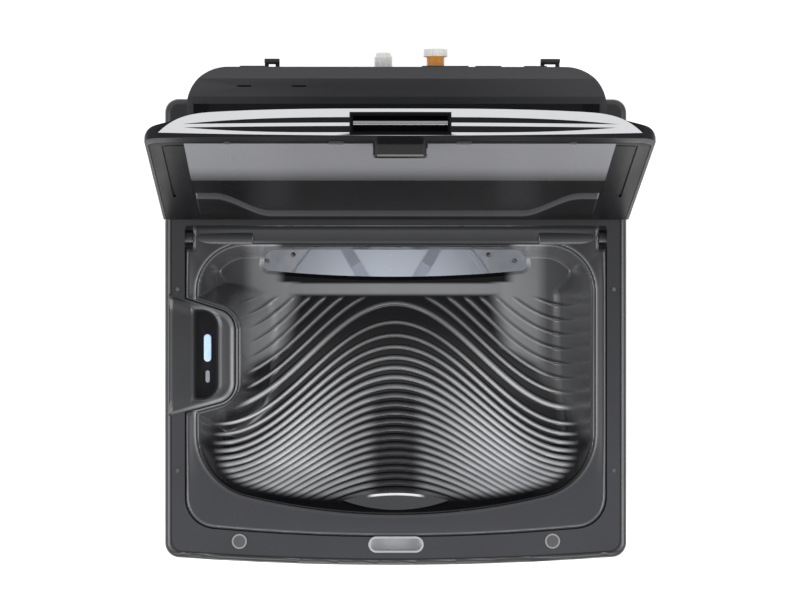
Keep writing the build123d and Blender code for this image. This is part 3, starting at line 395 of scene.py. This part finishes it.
class WasherStage(bpy.types.PropertyGroup):
    """Camera, floor and light."""
    height: length("Camera height", 6.133, "Height of the camera above the floor")
    offset: FloatVectorProperty(name="Camera offset", description="Camera position beside the centre",
                                default=(-0.058, 0.001), size=2, subtype="TRANSLATION", unit="LENGTH")
    aim: FloatVectorProperty(name="Aim", description="Point of the deck that the camera looks at",
                             default=(0.0074, 0.001), size=2, subtype="TRANSLATION", unit="LENGTH")
    lens: FloatProperty(name="Lens", description="Focal length in millimetres", default=154.6, min=20.0)
    sky: FloatProperty(name="Sky", description="Strength of the studio's soft light", default=1.15, min=0.0)
    key: FloatProperty(name="Key", description="Power of each side light", default=55.0, min=0.0,
                       subtype="POWER")
    front: FloatProperty(name="Front light", description="Power of the front strip", default=34.0, min=0.0,
                         subtype="POWER")
    drum: FloatProperty(name="Drum light", description="Power of the light inside the drum", default=0.38,
                        min=0.0, subtype="POWER")


def finishes():
    return bpy.context.scene.washer_finishes


# ---------------------------------------------------------------- making pieces
MADE = {}


def finish(key, maker, *values, **settings):
    """A named finish, made once and shared by the pieces that use it."""
    if key not in MADE:
        MADE[key] = maker(key, *values, **settings)
    return MADE[key]


def dress(material, *names):
    """Gives a finish to nodes of the frame."""
    for name in names:
        mesh = NODES[name].data
        if not mesh.materials:
            mesh.materials.append(material)
        for index in range(len(mesh.materials)):
            mesh.materials[index] = material


def piece(name, points, faces, material, body, stands_for=()):
    """A new mesh piece that rides on a body and hides the frame parts it stands for."""
    mesh = bpy.data.meshes.new(name)
    mesh.from_pydata([tuple(p) for p in points], [], [tuple(f) for f in faces])
    mesh.validate()
    mesh.materials.append(material)
    mesh.polygons.foreach_set("use_smooth", [True] * len(mesh.polygons))
    made = bpy.data.objects.new(name, mesh)
    bpy.context.scene.collection.objects.link(made)
    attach(made, body)
    if stands_for:
        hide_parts(*stands_for)
    return made


def shade(made, tone):
    """Stores the painted light and shade of each point of a piece, for its finish to read."""
    layer = made.data.attributes.new("tone", "FLOAT", "POINT")
    layer.data.foreach_set("value", np.asarray(tone, np.float32))


def ramp(value, low, high):
    """Smooth 0 to 1 between low and high, for numpy arrays."""
    share = np.clip((value - low) / (high - low), 0.0, 1.0)
    return share * share * (3 - 2 * share)


def corner(first, second, radius, lean=0.0):
    """Distance inside two edges whose corner is rounded; lean is the cosine between their normals."""
    one, two = radius - first, radius - second
    near = (one - lean * two > 0) & (two - lean * one > 0)
    square = np.maximum(one * one + two * two - 2 * lean * one * two, 0.0)
    return np.where(near, radius - np.sqrt(square / (1 - lean * lean)), np.minimum(first, second))


def bowed_inside(x, y, half, front, rear, rise, front_radius, rear_radius):
    """Distance inside a rounded rectangle whose front edge bows forward."""
    bow = (half ** 2 + rise ** 2) / (2 * rise)
    side, ahead = half - abs(x), bow - np.hypot(x, y - front - bow)
    reach = bow - front_radius
    across = half - front_radius
    along = front + bow - math.sqrt(reach ** 2 - across ** 2)
    right, up = abs(x) - across, y - along
    turned = (up < 0) & (across * up - (along - front - bow) * right > 0)
    inside = np.where(turned, front_radius - np.hypot(right, up), np.minimum(side, ahead))
    return np.minimum(inside, corner(side, rear - y, rear_radius) if rear_radius else rear - y)


def bulge_inside(x, y, grow):
    """Distance inside the deck's bulge around the jet button, shrunk by grow."""
    right = -0.238 + grow - x
    top = -((x + 0.300) * 22 + (y - 0.011 - grow) * 69) / 72.4
    bottom = ((y + 0.152 + grow) * 66 - (x + 0.300) * 18) / 68.4
    radius = 0.032 + grow
    return np.minimum(corner(right, top, radius, 0.304), corner(right, bottom, radius, 0.263))


def trimmed_grid(inside, low, high, step_x, step_y):
    """A grid over a shape, its outer points drawn in onto the outline; inside() is positive within."""
    xs = np.arange(low[0], high[0] + step_x, step_x)
    ys = np.arange(low[1], high[1] + step_y, step_y)
    x, y = (part.ravel() for part in np.meshgrid(xs, ys))
    outside = inside(x, y) < 0
    reach = 1.6 * max(step_x, step_y)
    far = inside(x, y) < -reach
    small = 1e-5
    for _ in range(4):
        there = inside(x, y)
        pull_x = (inside(x + small, y) - there) / small
        pull_y = (inside(x, y + small) - there) / small
        size = np.maximum(pull_x ** 2 + pull_y ** 2, 0.3)
        shift = np.where(outside & ~far, -there, 0.0) / size
        x, y = x + shift * pull_x, y + shift * pull_y
    columns = len(xs)
    first = (np.arange(len(ys) - 1)[:, None] * columns + np.arange(columns - 1)).ravel()
    quads = np.stack([first, first + 1, first + columns + 1, first + columns], 1)
    quads = quads[(~outside)[quads].any(1) & ~far[quads].any(1)]
    used = np.unique(quads)
    renumber = np.zeros(len(x), int)
    renumber[used] = np.arange(len(used))
    return x[used], y[used], renumber[quads]


# ---------------------------------------------------------------- sink bowl
def bowl_inside(x, y):
    """Distance in from the bowl's rim, in metres, negative outside it."""
    body = bowed_inside(x, y, BOWL_HIGH.x, BOWL_LOW.y, BOWL_HIGH.y, 0.049, 0.098, 0.071)
    return np.minimum(body, -bulge_inside(x, y, 0.004))


def flange_inside(x, y):
    """Distance inside the sink's flange, between its own edge and the bowl's rim."""
    body = bowed_inside(x, y, FLANGE_HIGH.x, FLANGE_LOW.y, FLANGE_HIGH.y, 0.0165, 0.045, 0.0)
    body = np.minimum(body, -bulge_inside(x, y, 0.0))
    notch = np.minimum(abs(x) - 0.301, y - 0.088)
    return np.minimum(body, -notch)


def slot_inside(x, y):
    """Distance inside the lens-shaped drain slot, negative outside it."""
    ahead = y - (0.048 + 0.010 * (x / 0.2) ** 2)
    side = 0.2 - abs(x)
    return np.minimum(corner(ahead, side, 0.007), corner(0.088 - y, side, 0.020))


def bowl_floor(y):
    reach = np.maximum(0.0, (0.048 - y) / 0.3525)
    return 0.894 + 0.098 * reach ** 2.2


RIB_HALF_WAVE = 0.262  # from one crest of the wave to its trough, across the bowl
RIB_REAR_Y = 0.008  # top of the rearmost rib on the middle line
RIB_SPAN = 0.280  # from there to the foremost rib
REAR_SPACING = 0.022  # between the part ribs behind the rearmost whole one
EXTRA_RIBS = 8  # part ribs behind it


def rib_heights(x, y, sink, half):
    """Height share of the ribs at each point, 0 between them and 1 along their crests."""
    crest = np.zeros_like(x)
    for index in range(-EXTRA_RIBS, sink.ribs):
        share = max(index, 0) / (sink.ribs - 1)
        apex = RIB_REAR_Y - RIB_SPAN * share ** 0.76 + REAR_SPACING * max(-index, 0)
        swing = 0.158 - 0.092 * share
        turn = math.pi * x / RIB_HALF_WAVE
        line = apex - swing * (1 - np.cos(turn)) / 2
        slope = -swing * np.sin(turn) / 2 * math.pi / RIB_HALF_WAVE
        away = abs(y - line) / np.sqrt(1 + slope ** 2)
        wide = half * (1.0 if index == 0 else 0.62 + 0.38 * min(1.0, share / 0.35))
        crest = np.maximum(crest, np.clip(1 - (away / wide) ** 2, 0, 1) ** 1.5)
    ends = 1 - ramp(abs(x), 0.246, 0.278)
    return crest * ends * (1 - ramp(y, 0.010, 0.020))


def sink_bowl_mesh(sink):
    """Points, faces and painted light and shade of the bowl's upper surface."""
    def open_floor(x, y):
        return np.minimum(bowl_inside(x, y), -slot_inside(x, y))
    x, y, quads = trimmed_grid(open_floor, BOWL_LOW, BOWL_HIGH, sink.step_x, sink.step_y)
    depth = np.maximum(bowl_inside(x, y), 0.0)
    run = sink.wall_run * (1 - 0.72 * ramp(y, 0.02, 0.06))
    floor = bowl_floor(y)
    height = floor + (BOWL_HIGH.z - floor) * (1 - np.clip((depth - 0.003) / run, 0, 1)) ** 2.3
    crest = rib_heights(x, y, sink, sink.rib_half) * ramp(depth, 0.010, 0.026)
    lines = rib_heights(x, y, sink, 0.0026) * ramp(depth, 0.012, 0.030)
    height += sink.rib_height * crest
    height -= 0.004 * (1 - ramp(-slot_inside(x, y), 0.0, 0.006))
    return np.stack([x, y, height], 1), quads, bowl_painted_light(x, y, crest, lines)


def bowl_painted_light(x, y, crest, lines):
    """Painted light and shade on the smoked plastic: painted highlights on the rib crests over a dark
    floor, painted light on the translucent walls crossed by thin dark rib lines, a painted highlight on the
    lip before the slot, and painted shade at the slot's edge and towards the front.
    """
    across = abs(x)
    middle = (1 - ramp(across, 0.022, 0.050)) * (1 - ramp(y, -0.150, -0.090))
    # painted highlight on the rib crests, brighter towards the sides and dimmer in the middle
    lit = crest * (0.50 + 0.50 * ramp(across, 0.02, 0.17)) * (1 - 0.85 * middle)
    # the painted highlight fades towards the rear
    lit *= 1 - 0.62 * ramp(y, -0.13, -0.02)
    # painted light on the translucent side walls, crossed by thin dark rib lines
    border = np.interp(y, [-0.20, -0.165, -0.085, -0.060, 0.03], [0.29, 0.262, 0.212, 0.165, 0.147])
    wall = ramp(across, border - 0.012, border + 0.020)
    pale = np.interp(across, [0.147, 0.215, 0.232, 0.29], [0.42, 0.36, 0.14, 0.10])
    tone = lit * (1 - wall) + wall * (pale * (1 - 0.78 * lines) + 0.3 * crest * (1 - ramp(y, -0.17, -0.10)))
    # painted highlight on the lip before the slot
    lip = ramp(y, 0.018, 0.024) * (1 - ramp(y, 0.036, 0.039)) * (1 - ramp(across, 0.165, 0.185))
    # painted shade along the slot's edge
    edge = ramp(y, 0.038, 0.041) * (1 - ramp(across, 0.165, 0.185))
    tone = np.maximum(tone * (1 - edge), 0.36 * lip)
    # painted shade towards the front wall
    front = 1 - ramp(y, -0.290, -0.268)
    return tone * (1 - front)


def flange_mesh(low, high):
    """The sink's flange, rising from the bowl's rim to a rolled outer edge, with painted highlights along
    the rim and the outer edge.
    """
    def band(x, y):
        return np.minimum(flange_inside(x, y), -bowl_inside(x, y))
    x, y, quads = trimmed_grid(band, low, high, 0.0024, 0.0024)
    outer, inner = np.maximum(flange_inside(x, y), 0), np.maximum(-bowl_inside(x, y), 0)
    share = inner / np.maximum(outer + inner, 1e-6)
    height = high[2] + 0.0004 + 0.0042 * share ** 1.6
    height -= 0.0030 * (1 - ramp(outer, 0.0, 0.0035)) + 0.0012 * (1 - ramp(inner, 0.0, 0.003))
    # painted highlight along the bowl's rim at the sides, and along the outer edge at the front
    sides = ramp(abs(x), 0.15, 0.26) * ramp(y, -0.30, -0.16)
    tone = 0.85 * np.exp(-((inner - 0.0012) / 0.0022) ** 2) * sides
    tone += 0.35 * np.exp(-((outer - 0.002) / 0.0015) ** 2) * (1 - ramp(y, -0.31, -0.25))
    return np.stack([x, y, height], 1), quads, tone


def bulge_mesh():
    """The deck's shoulder around the jet button, rolled up from its edge and dished to the pocket, with a
    painted highlight along its edge.
    """
    low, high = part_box("button_pocket")

    def ring(x, y):
        side = np.minimum(x - low.x, high.x - x)
        pocket = corner(np.minimum(y - low.y, high.y - y), high.x - x, 0.024)
        return np.minimum(np.minimum(bulge_inside(x, y, -0.0018), x + 0.337), -np.minimum(pocket, side))
    x, y, quads = trimmed_grid(ring, (-0.338, -0.160), (-0.238, 0.024), 0.0018, 0.0018)
    edge = np.maximum(bulge_inside(x, y, -0.0018), 0)
    away = np.maximum(ring(x, y), 0)
    height = DECK_TOP + 0.0002 + 0.0024 * ramp(edge, 0.0, 0.005) * ramp(away, 0.0, 0.006)
    height -= 0.0016 * ramp(edge, 0.006, 0.024) * ramp(away, 0.0, 0.006)
    # painted highlight along the shoulder's rolled edge
    tone = 0.75 * np.exp(-((edge - 0.0035) / 0.0032) ** 2) * ramp(x, -0.325, -0.27)
    return np.stack([x, y, height], 1), quads, tone


def smoked_plastic(name, smoke, ridge):
    """Glossy smoked plastic whose ribs and walls catch the light."""
    paint = Paint(name, coat=0.15, coat_roughness=0.08)
    tone = paint.node("ShaderNodeAttribute", {"attribute_name": "tone"}, output="Fac")
    haze = paint.noise(9.0, 3.0)
    body = paint.mix(tone * (0.85 + haze * 0.3), smoke, ridge)
    paint.set("Base Color", body)
    paint.set("Roughness", 0.16 + haze * 0.08 + tone * 0.10)
    paint.bump(paint.noise(420.0, 2.0), 0.03, 0.0002)
    return paint.material


# ---------------------------------------------------------------- lid ledge
def lid_place(x, y, z):
    """A point of the closed lid, measured from its hinge, in its open place."""
    cos, sin = math.cos(LID_OPEN), math.sin(LID_OPEN)
    return (x + LID_HINGE.x, LID_HINGE.y + y * cos + z * sin, LID_HINGE.z - y * sin + z * cos)


def ledge_mesh(proud):
    """A moulding that swells from the inner glass to an S-shaped crest, then runs to the hinge, with a
    painted highlight growing towards the crest.
    """
    x = np.linspace(-0.288, 0.288, 181)
    crest_y = -0.156 + 0.112 * (1 - ramp(abs(x), 0.184, 0.262))
    swell = [(-0.100 * (1 - step / 10), (step / 10) ** 2.2) for step in range(11)]
    rows = [(crest_y + back, -0.0092 - (proud + 0.0028) * rise) for back, rise in swell]
    # painted highlight: paler up the swell to the crest, dark beyond it
    row_painted_light = [0.10 + 0.90 * (step / 10) ** 2 for step in range(11)]
    rows += [(crest_y + 0.0012, np.full_like(x, -0.0118 - proud)), (crest_y + 0.003, -0.0112 - proud * 0.9)]
    row_painted_light += [0.9, 0.0]
    rest = np.full_like(x, -0.026) - crest_y
    for share in (0.25, 0.5, 0.75, 1.0):
        rows.append((crest_y + 0.003 + (rest - 0.003) * share, -0.0112 - proud * (0.9 - 0.5 * share)))
        row_painted_light.append(0.0)
    points, tone = [], []
    for (row_y, row_z), shade in zip(rows, row_painted_light):
        for a, b, c in zip(x, row_y, np.broadcast_to(row_z, x.shape)):
            points.append(lid_place(a, b, c))
            tone.append(shade)
    width = len(x)
    faces = [(r * width + i, r * width + i + 1, (r + 1) * width + i + 1, (r + 1) * width + i)
             for r in range(len(rows) - 1) for i in range(width - 1)]
    return points, faces, np.array(tone)


def ledge_plastic(name, colour, pale):
    """Dark satin moulding with a painted highlight that grows paler towards its crest."""
    paint = Paint(name, specular=0.15)
    tone = paint.node("ShaderNodeAttribute", {"attribute_name": "tone"}, output="Fac")
    drift = paint.noise(6.0, 2.0)
    paint.set("Base Color", paint.mix(tone * (0.9 + drift * 0.2), colour, pale))
    paint.set("Roughness", 0.30 + drift * 0.08)
    paint.bump(paint.noise(900.0, 2.0), 0.03, 0.0002)
    return paint.material


def lid_glass(name, pale):
    """Dark glass with a painted reflection that grows paler from the hinge towards the lid's front."""
    paint = Paint(name, specular=0.12)
    height = paint.axis("Z")
    # painted reflection: a pale band on the upper glass, near black nearer the hinge, brighter towards the
    # sides
    upper = height.between(LID_HINGE.z + 0.256, LID_HINGE.z + 0.262)
    slow = height.between(LID_HINGE.z + 0.235, LID_HINGE.z + 0.345)
    outward = paint.node("ShaderNodeMath", {"operation": "ABSOLUTE"}, {0: paint.axis("X")})
    cloud = paint.noise(4.0, 2.0) * 0.7 + outward.between(0.12, 0.30) * 0.5
    tone = paint.mix(slow, tinted(pale, 0.18), tinted(pale, 0.95))
    body = paint.mix(upper * (0.82 + cloud * 0.25), (0.004, 0.004, 0.0045), tone)
    paint.set("Base Color", body)
    paint.set("Roughness", 0.22 + cloud * 0.08)
    paint.bump(paint.noise(300.0, 1.0), 0.01, 0.0001)
    return paint.material


# ---------------------------------------------------------------- operators
class WasherOperator:
    """What the washer's operators share."""
    bl_options = {"REGISTER", "UNDO"}

    def execute(self, context):
        self.make(context)
        return {"FINISHED"}


class WASHER_OT_cabinet(WasherOperator, bpy.types.Operator):
    """Finish the cabinet, its rear panel, base and feet"""
    bl_idname = "washer.cabinet"
    bl_label = "Cabinet"

    def make(self, context):
        dress(finish("cabinet_enamel", enamelled_steel, finishes().cabinet[:]), "cabinet_wrap")
        dress(finish("zinc", zinc_sheet, (0.30, 0.31, 0.32)), "rear_panel", "base_frame",
              "suspension_brackets")
        dress(finish("screw_steel", brushed_metal, (0.60, 0.61, 0.63), 0.3), "rear_screws", "foot_studs",
              "hinge_brackets_and_pins")
        dress(finish("foot_rubber", moulded_rubber), "foot_pads")


class WASHER_OT_deck(WasherOperator, bpy.types.Operator):
    """Finish the moulded deck, its latch cup, bumpers and jet button"""
    bl_idname = "washer.deck"
    bl_label = "Deck"

    def make(self, context):
        colours = finishes()
        # the second colour is the painted highlight mixed in by the stored painted light
        deck = finish("deck_plastic", deck_plastic, colours.deck[:], (0.20, 0.205, 0.215))
        dress(deck, "top_deck", "sink_frame")
        dress(finish("latch_chrome", satin_chrome, (0.55, 0.56, 0.58), 0.42), "latch_cup")
        points, faces, tone = bulge_mesh()
        shade(piece("deck_shoulder", points, faces, deck, "cabinet"), tone)
        dress(finish("pocket_black", moulded_plastic, colours.black[:], 0.10, 1500.0, 0.02, 0.8),
              "button_pocket")
        dress(finish("lock_black", moulded_plastic, (0.02, 0.02, 0.022), 0.5), "lid_lock_body")
        dress(finish("lock_steel", brushed_metal, (0.6, 0.61, 0.63), 0.26), "lid_lock_bolt")
        dress(finish("bumper_rubber", ringed_rubber, (0.05, 0.051, 0.054), (0.22, 0.22, 0.23)),
              "deck_bumpers")
        glow = colours.glow[:]
        dress(finish("jet_lens", lit_plastic, (0.42, 0.55, 0.80), glow, 0.17), "jet_button")
        dress(finish("jet_icon", lit_plastic, (0.25, 0.27, 0.3), (0.3, 0.33, 0.36), 0.1), "jet_icon_lens")


class WASHER_OT_console(WasherOperator, bpy.types.Operator):
    """Finish the console, its controls, inlets and hose fittings"""
    bl_idname = "washer.console"
    bl_label = "Console"

    def make(self, context):
        colours = finishes()
        cover = finish("console_plastic", moulded_plastic, colours.console[:], 0.36, 1200.0, 0.06, 0.1)
        dress(cover, "console_housing")
        glass = finish("control_glass", moulded_plastic, (0.006, 0.006, 0.007), 0.06, 900.0, 0.01, 1.0)
        dress(glass, "control_glass")
        dress(finish("dial_chrome", satin_chrome, colours.chrome[:], 0.2), "programme_dial")
        dress(finish("key_grey", moulded_plastic, (0.32, 0.33, 0.35), 0.3), "power_button", "start_button")
        dress(finish("board", etched_board), "control_board")
        dress(finish("fitting_black", moulded_plastic, (0.016, 0.016, 0.018), 0.42), "inlet_valve",
              "hose_hooks", "mains_gland", "drain_outlet")
        dress(finish("inlet_white", moulded_plastic, (0.80, 0.80, 0.78), 0.38), "cold_inlet", "hot_cap")
        dress(finish("inlet_orange", moulded_plastic, colours.inlet[:], 0.35), "hot_inlet")
        dress(finish("hose_rubber", moulded_rubber), "jet_feed")


class WASHER_OT_lid(WasherOperator, bpy.types.Operator):
    """Finish the outer lid and mould the ledge on its inner side"""
    bl_idname = "washer.lid"
    bl_label = "Outer lid"

    def make(self, context):
        colours = finishes()
        inner = finish("lid_inner_plastic", moulded_plastic, (0.005, 0.005, 0.006), 0.36, 1400.0, 0.03,
                       0.0, 0.08)
        dress(inner, "lid_inner_frame")
        dress(finish("lid_frame_plastic", moulded_plastic, (0.007, 0.007, 0.008), 0.30, 1400.0, 0.04, 0.0,
                     0.14), "lid_outer_frame")
        dress(finish("lid_outer_glass", moulded_plastic, (0.006, 0.006, 0.007), 0.05, 900.0, 0.01, 1.0),
              "lid_outer_glass")
        # the glass colour is the painted reflection's pale tone
        dress(finish("lid_inner_glass", lid_glass, (0.235, 0.237, 0.25)), "lid_inner_glass")
        dress(finish("lid_chrome", satin_chrome, colours.chrome[:], 0.10), "lid_chrome_trim")
        dress(finish("grip_chrome", satin_chrome, (0.34, 0.34, 0.36), 0.16), "lid_handle_grip")
        dress(finish("recess_black", moulded_plastic, (0.002, 0.002, 0.002), 0.5, 1500.0, 0.02, 0.0, 0.05),
              "lid_handle_insert")
        dress(finish("latch_black", moulded_plastic, colours.black[:], 0.16, 1500.0, 0.02, 0.4, 0.3),
              "lid_latch_block")
        dress(finish("stop_rubber", moulded_rubber), "lid_stops")
        dress(finish("arm_grey", moulded_plastic, (0.30, 0.31, 0.33), 0.34), "lid_hinge_arms")
        points, faces, tone = ledge_mesh(context.scene.washer_sink.ledge)
        # the second colour is the ledge's painted highlight
        satin = finish("ledge_plastic", ledge_plastic, (0.003, 0.003, 0.0034), (0.070, 0.071, 0.076))
        ledge = piece("lid_inner_ledge", points, faces, satin, "outer_lid")
        shade(ledge, tone)
        skin = ledge.modifiers.new("skin", "SOLIDIFY")
        skin.thickness, skin.offset = 0.0015, 0.0


class WASHER_OT_sink(WasherOperator, bpy.types.Operator):
    """Mould the ribbed sink bowl and finish its grip"""
    bl_idname = "washer.sink"
    bl_label = "Sink lid"

    def make(self, context):
        colours, sink = finishes(), context.scene.washer_sink
        smoke = finish("smoked_plastic", smoked_plastic, colours.smoke[:], colours.ridge[:])
        points, faces, tone = sink_bowl_mesh(sink)
        bowl = piece("ribbed_sink_bowl", points, faces, smoke, "sink_lid", ["sink_bowl"])
        shade(bowl, tone)
        skin = bowl.modifiers.new("wall", "SOLIDIFY")
        skin.thickness, skin.offset = sink.wall, -1.0
        points, faces, tone = flange_mesh(FLANGE_LOW, (FLANGE_HIGH.x, FLANGE_HIGH.y, FLANGE_TOP))
        flange = piece("sink_flange_top", points, faces, MADE["deck_plastic"], "sink_lid")
        shade(flange, tone)
        dress(finish("grip_plastic", edged_grip, (0.040, 0.041, 0.044)), "sink_grip")


class WASHER_OT_tub(WasherOperator, bpy.types.Operator):
    """Finish the hung outer tub, its suspension, motor stator and pump"""
    bl_idname = "washer.tub"
    bl_label = "Tub"

    def make(self, context):
        dress(finish("tub_plastic", moulded_plastic, (0.42, 0.43, 0.45), 0.46, 500.0, 0.16), "outer_tub",
              "tub_cover")
        dress(finish("alloy", cast_alloy), "bearing_housing", "drum_hub")
        dress(finish("bearing_steel", brushed_metal, (0.62, 0.63, 0.65), 0.18), "spin_bearings",
              "suspension_rods", "suspension_springs", "drive_shaft")
        dress(finish("seal_rubber", moulded_rubber), "shaft_seal")
        dress(finish("motor_steel", cast_alloy, (0.22, 0.2, 0.19)), "stator", "rotor")
        dress(finish("pump_black", moulded_plastic, (0.02, 0.02, 0.022), 0.45), "pump_body",
              "pump_impeller")


class WASHER_OT_drum(WasherOperator, bpy.types.Operator):
    """Finish the spin drum, its balance ring and the pulsator"""
    bl_idname = "washer.drum"
    bl_label = "Drum and pulsator"

    def make(self, context):
        colours = finishes()
        dress(finish("drum_steel", brushed_metal, colours.steel[:], 0.2), "drum_shell", "drum_floor")
        dress(finish("ring_white", moulded_plastic, (0.78, 0.79, 0.8), 0.3), "balance_ring")
        dress(finish("pulsator_silver", satin_chrome, colours.pulsator[:], 0.3), "pulsator")


class WASHER_OT_stage(WasherOperator, bpy.types.Operator):
    """Lay the floor, set the camera and the studio light"""
    bl_idname = "washer.stage"
    bl_label = "Stage"

    def make(self, context):
        stage = context.scene.washer_stage
        floor = bpy.data.meshes.new("floor")
        floor.from_pydata([(-9, -9, 0), (9, -9, 0), (9, 9, 0), (-9, 9, 0)], [], [(0, 1, 2, 3)])
        pale = Paint("pale_floor")
        pale.set("Base Color", pale.mix(pale.noise(1.5, 2.0), (0.84, 0.84, 0.84), (0.88, 0.88, 0.88)))
        pale.set("Roughness", 0.75)
        pale.set("Emission Color", (1.0, 1.0, 1.0))
        pale.set("Emission Strength", 0.35)
        floor.materials.append(pale.material)
        ground = bpy.data.objects.new("floor", floor)
        context.scene.collection.objects.link(ground)
        camera = bpy.data.objects.new("camera", bpy.data.cameras.new("camera"))
        context.scene.collection.objects.link(camera)
        camera.location = (stage.offset[0], stage.offset[1], stage.height)
        ahead = (Vector((stage.aim[0], stage.aim[1], DECK_TOP)) - camera.location).normalized()
        right = ahead.cross(Vector((0, 1, 0))).normalized()
        turned = Matrix((right, right.cross(ahead), -ahead)).transposed()
        camera.rotation_euler = turned.to_euler()
        camera.data.lens = stage.lens
        camera.data.clip_end = 50
        context.scene.camera = camera
        self.light_studio(context, stage)
        context.scene.view_settings.view_transform = "Standard"

    def light_studio(self, context, stage):
        world = bpy.data.worlds.new("studio")
        world.use_nodes = True
        tree = world.node_tree
        back = tree.nodes["Background"]
        spot = tree.nodes.new("ShaderNodeTexCoord")
        split = tree.nodes.new("ShaderNodeSeparateXYZ")
        shade = tree.nodes.new("ShaderNodeValToRGB")
        Paint.set_stops(shade.color_ramp, [(0.0, (0.62, 0.62, 0.62)), (0.55, (0.78, 0.78, 0.78)),
                                           (0.925, (0.76, 0.76, 0.76)), (0.985, (0.10, 0.10, 0.105))])
        tree.links.new(spot.outputs["Generated"], split.inputs[0])
        tree.links.new(split.outputs["Z"], shade.inputs[0])
        tree.links.new(shade.outputs[0], back.inputs["Color"])
        back.inputs["Strength"].default_value = stage.sky
        context.scene.world = world
        for side in (-1, 1):
            lamp = bpy.data.lights.new("softbox", "AREA")
            lamp.shape, lamp.size, lamp.size_y = "RECTANGLE", 1.6, 2.4
            lamp.energy = stage.key
            lit = bpy.data.objects.new("softbox", lamp)
            context.scene.collection.objects.link(lit)
            lit.location = (side * 2.6, -0.6, 3.4)
            lit.rotation_euler = (Vector((0, 0, 0.9)) - lit.location).to_track_quat("-Z", "Y").to_euler()
        lamp = bpy.data.lights.new("front_softbox", "AREA")
        lamp.shape, lamp.size, lamp.size_y, lamp.energy = "RECTANGLE", 3.2, 0.7, stage.front
        lit = bpy.data.objects.new("front_softbox", lamp)
        context.scene.collection.objects.link(lit)
        lit.location = (0, -3.0, 3.2)
        lit.rotation_euler = (Vector((0, 0, 1.0)) - lit.location).to_track_quat("-Z", "Y").to_euler()
        lamp = bpy.data.lights.new("drum_lamp", "AREA")
        lamp.shape, lamp.size, lamp.energy = "DISK", 0.36, stage.drum
        lit = bpy.data.objects.new("drum_lamp", lamp)
        context.scene.collection.objects.link(lit)
        lit.location = (0, -0.03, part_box("balance_ring")[1].z - 0.03)
        lit.visible_camera = False


OPERATORS = (WASHER_OT_cabinet, WASHER_OT_deck, WASHER_OT_console, WASHER_OT_lid, WASHER_OT_sink,
             WASHER_OT_tub, WASHER_OT_drum, WASHER_OT_stage)


class WASHER_PT_build(bpy.types.Panel):
    """Buttons that build each part of the washer"""
    bl_idname = "WASHER_PT_build"
    bl_label = "Top load washer"
    bl_space_type = "VIEW_3D"
    bl_region_type = "UI"
    bl_category = "Washer"

    def draw(self, context):
        for operator in OPERATORS:
            self.layout.operator(operator.bl_idname)
        for group in ("washer_finishes", "washer_sink", "washer_stage"):
            settings = getattr(context.scene, group)
            box = self.layout.box()
            for name in settings.__annotations__:
                box.prop(settings, name)


CLASSES = (WasherFinishes, WasherSink, WasherStage) + OPERATORS + (WASHER_PT_build,)


def register():
    for item in CLASSES:
        bpy.utils.register_class(item)
    bpy.types.Scene.washer_finishes = PointerProperty(type=WasherFinishes)
    bpy.types.Scene.washer_sink = PointerProperty(type=WasherSink)
    bpy.types.Scene.washer_stage = PointerProperty(type=WasherStage)


def unregister():
    for name in ("washer_finishes", "washer_sink", "washer_stage"):
        delattr(bpy.types.Scene, name)
    for item in reversed(CLASSES):
        bpy.utils.unregister_class(item)


def main():
    register()
    for operator in OPERATORS:
        group, name = operator.bl_idname.split(".")
        getattr(getattr(bpy.ops, group), name)()
    bpy.context.view_layer.update()


if __name__ == "__main__":
    main()
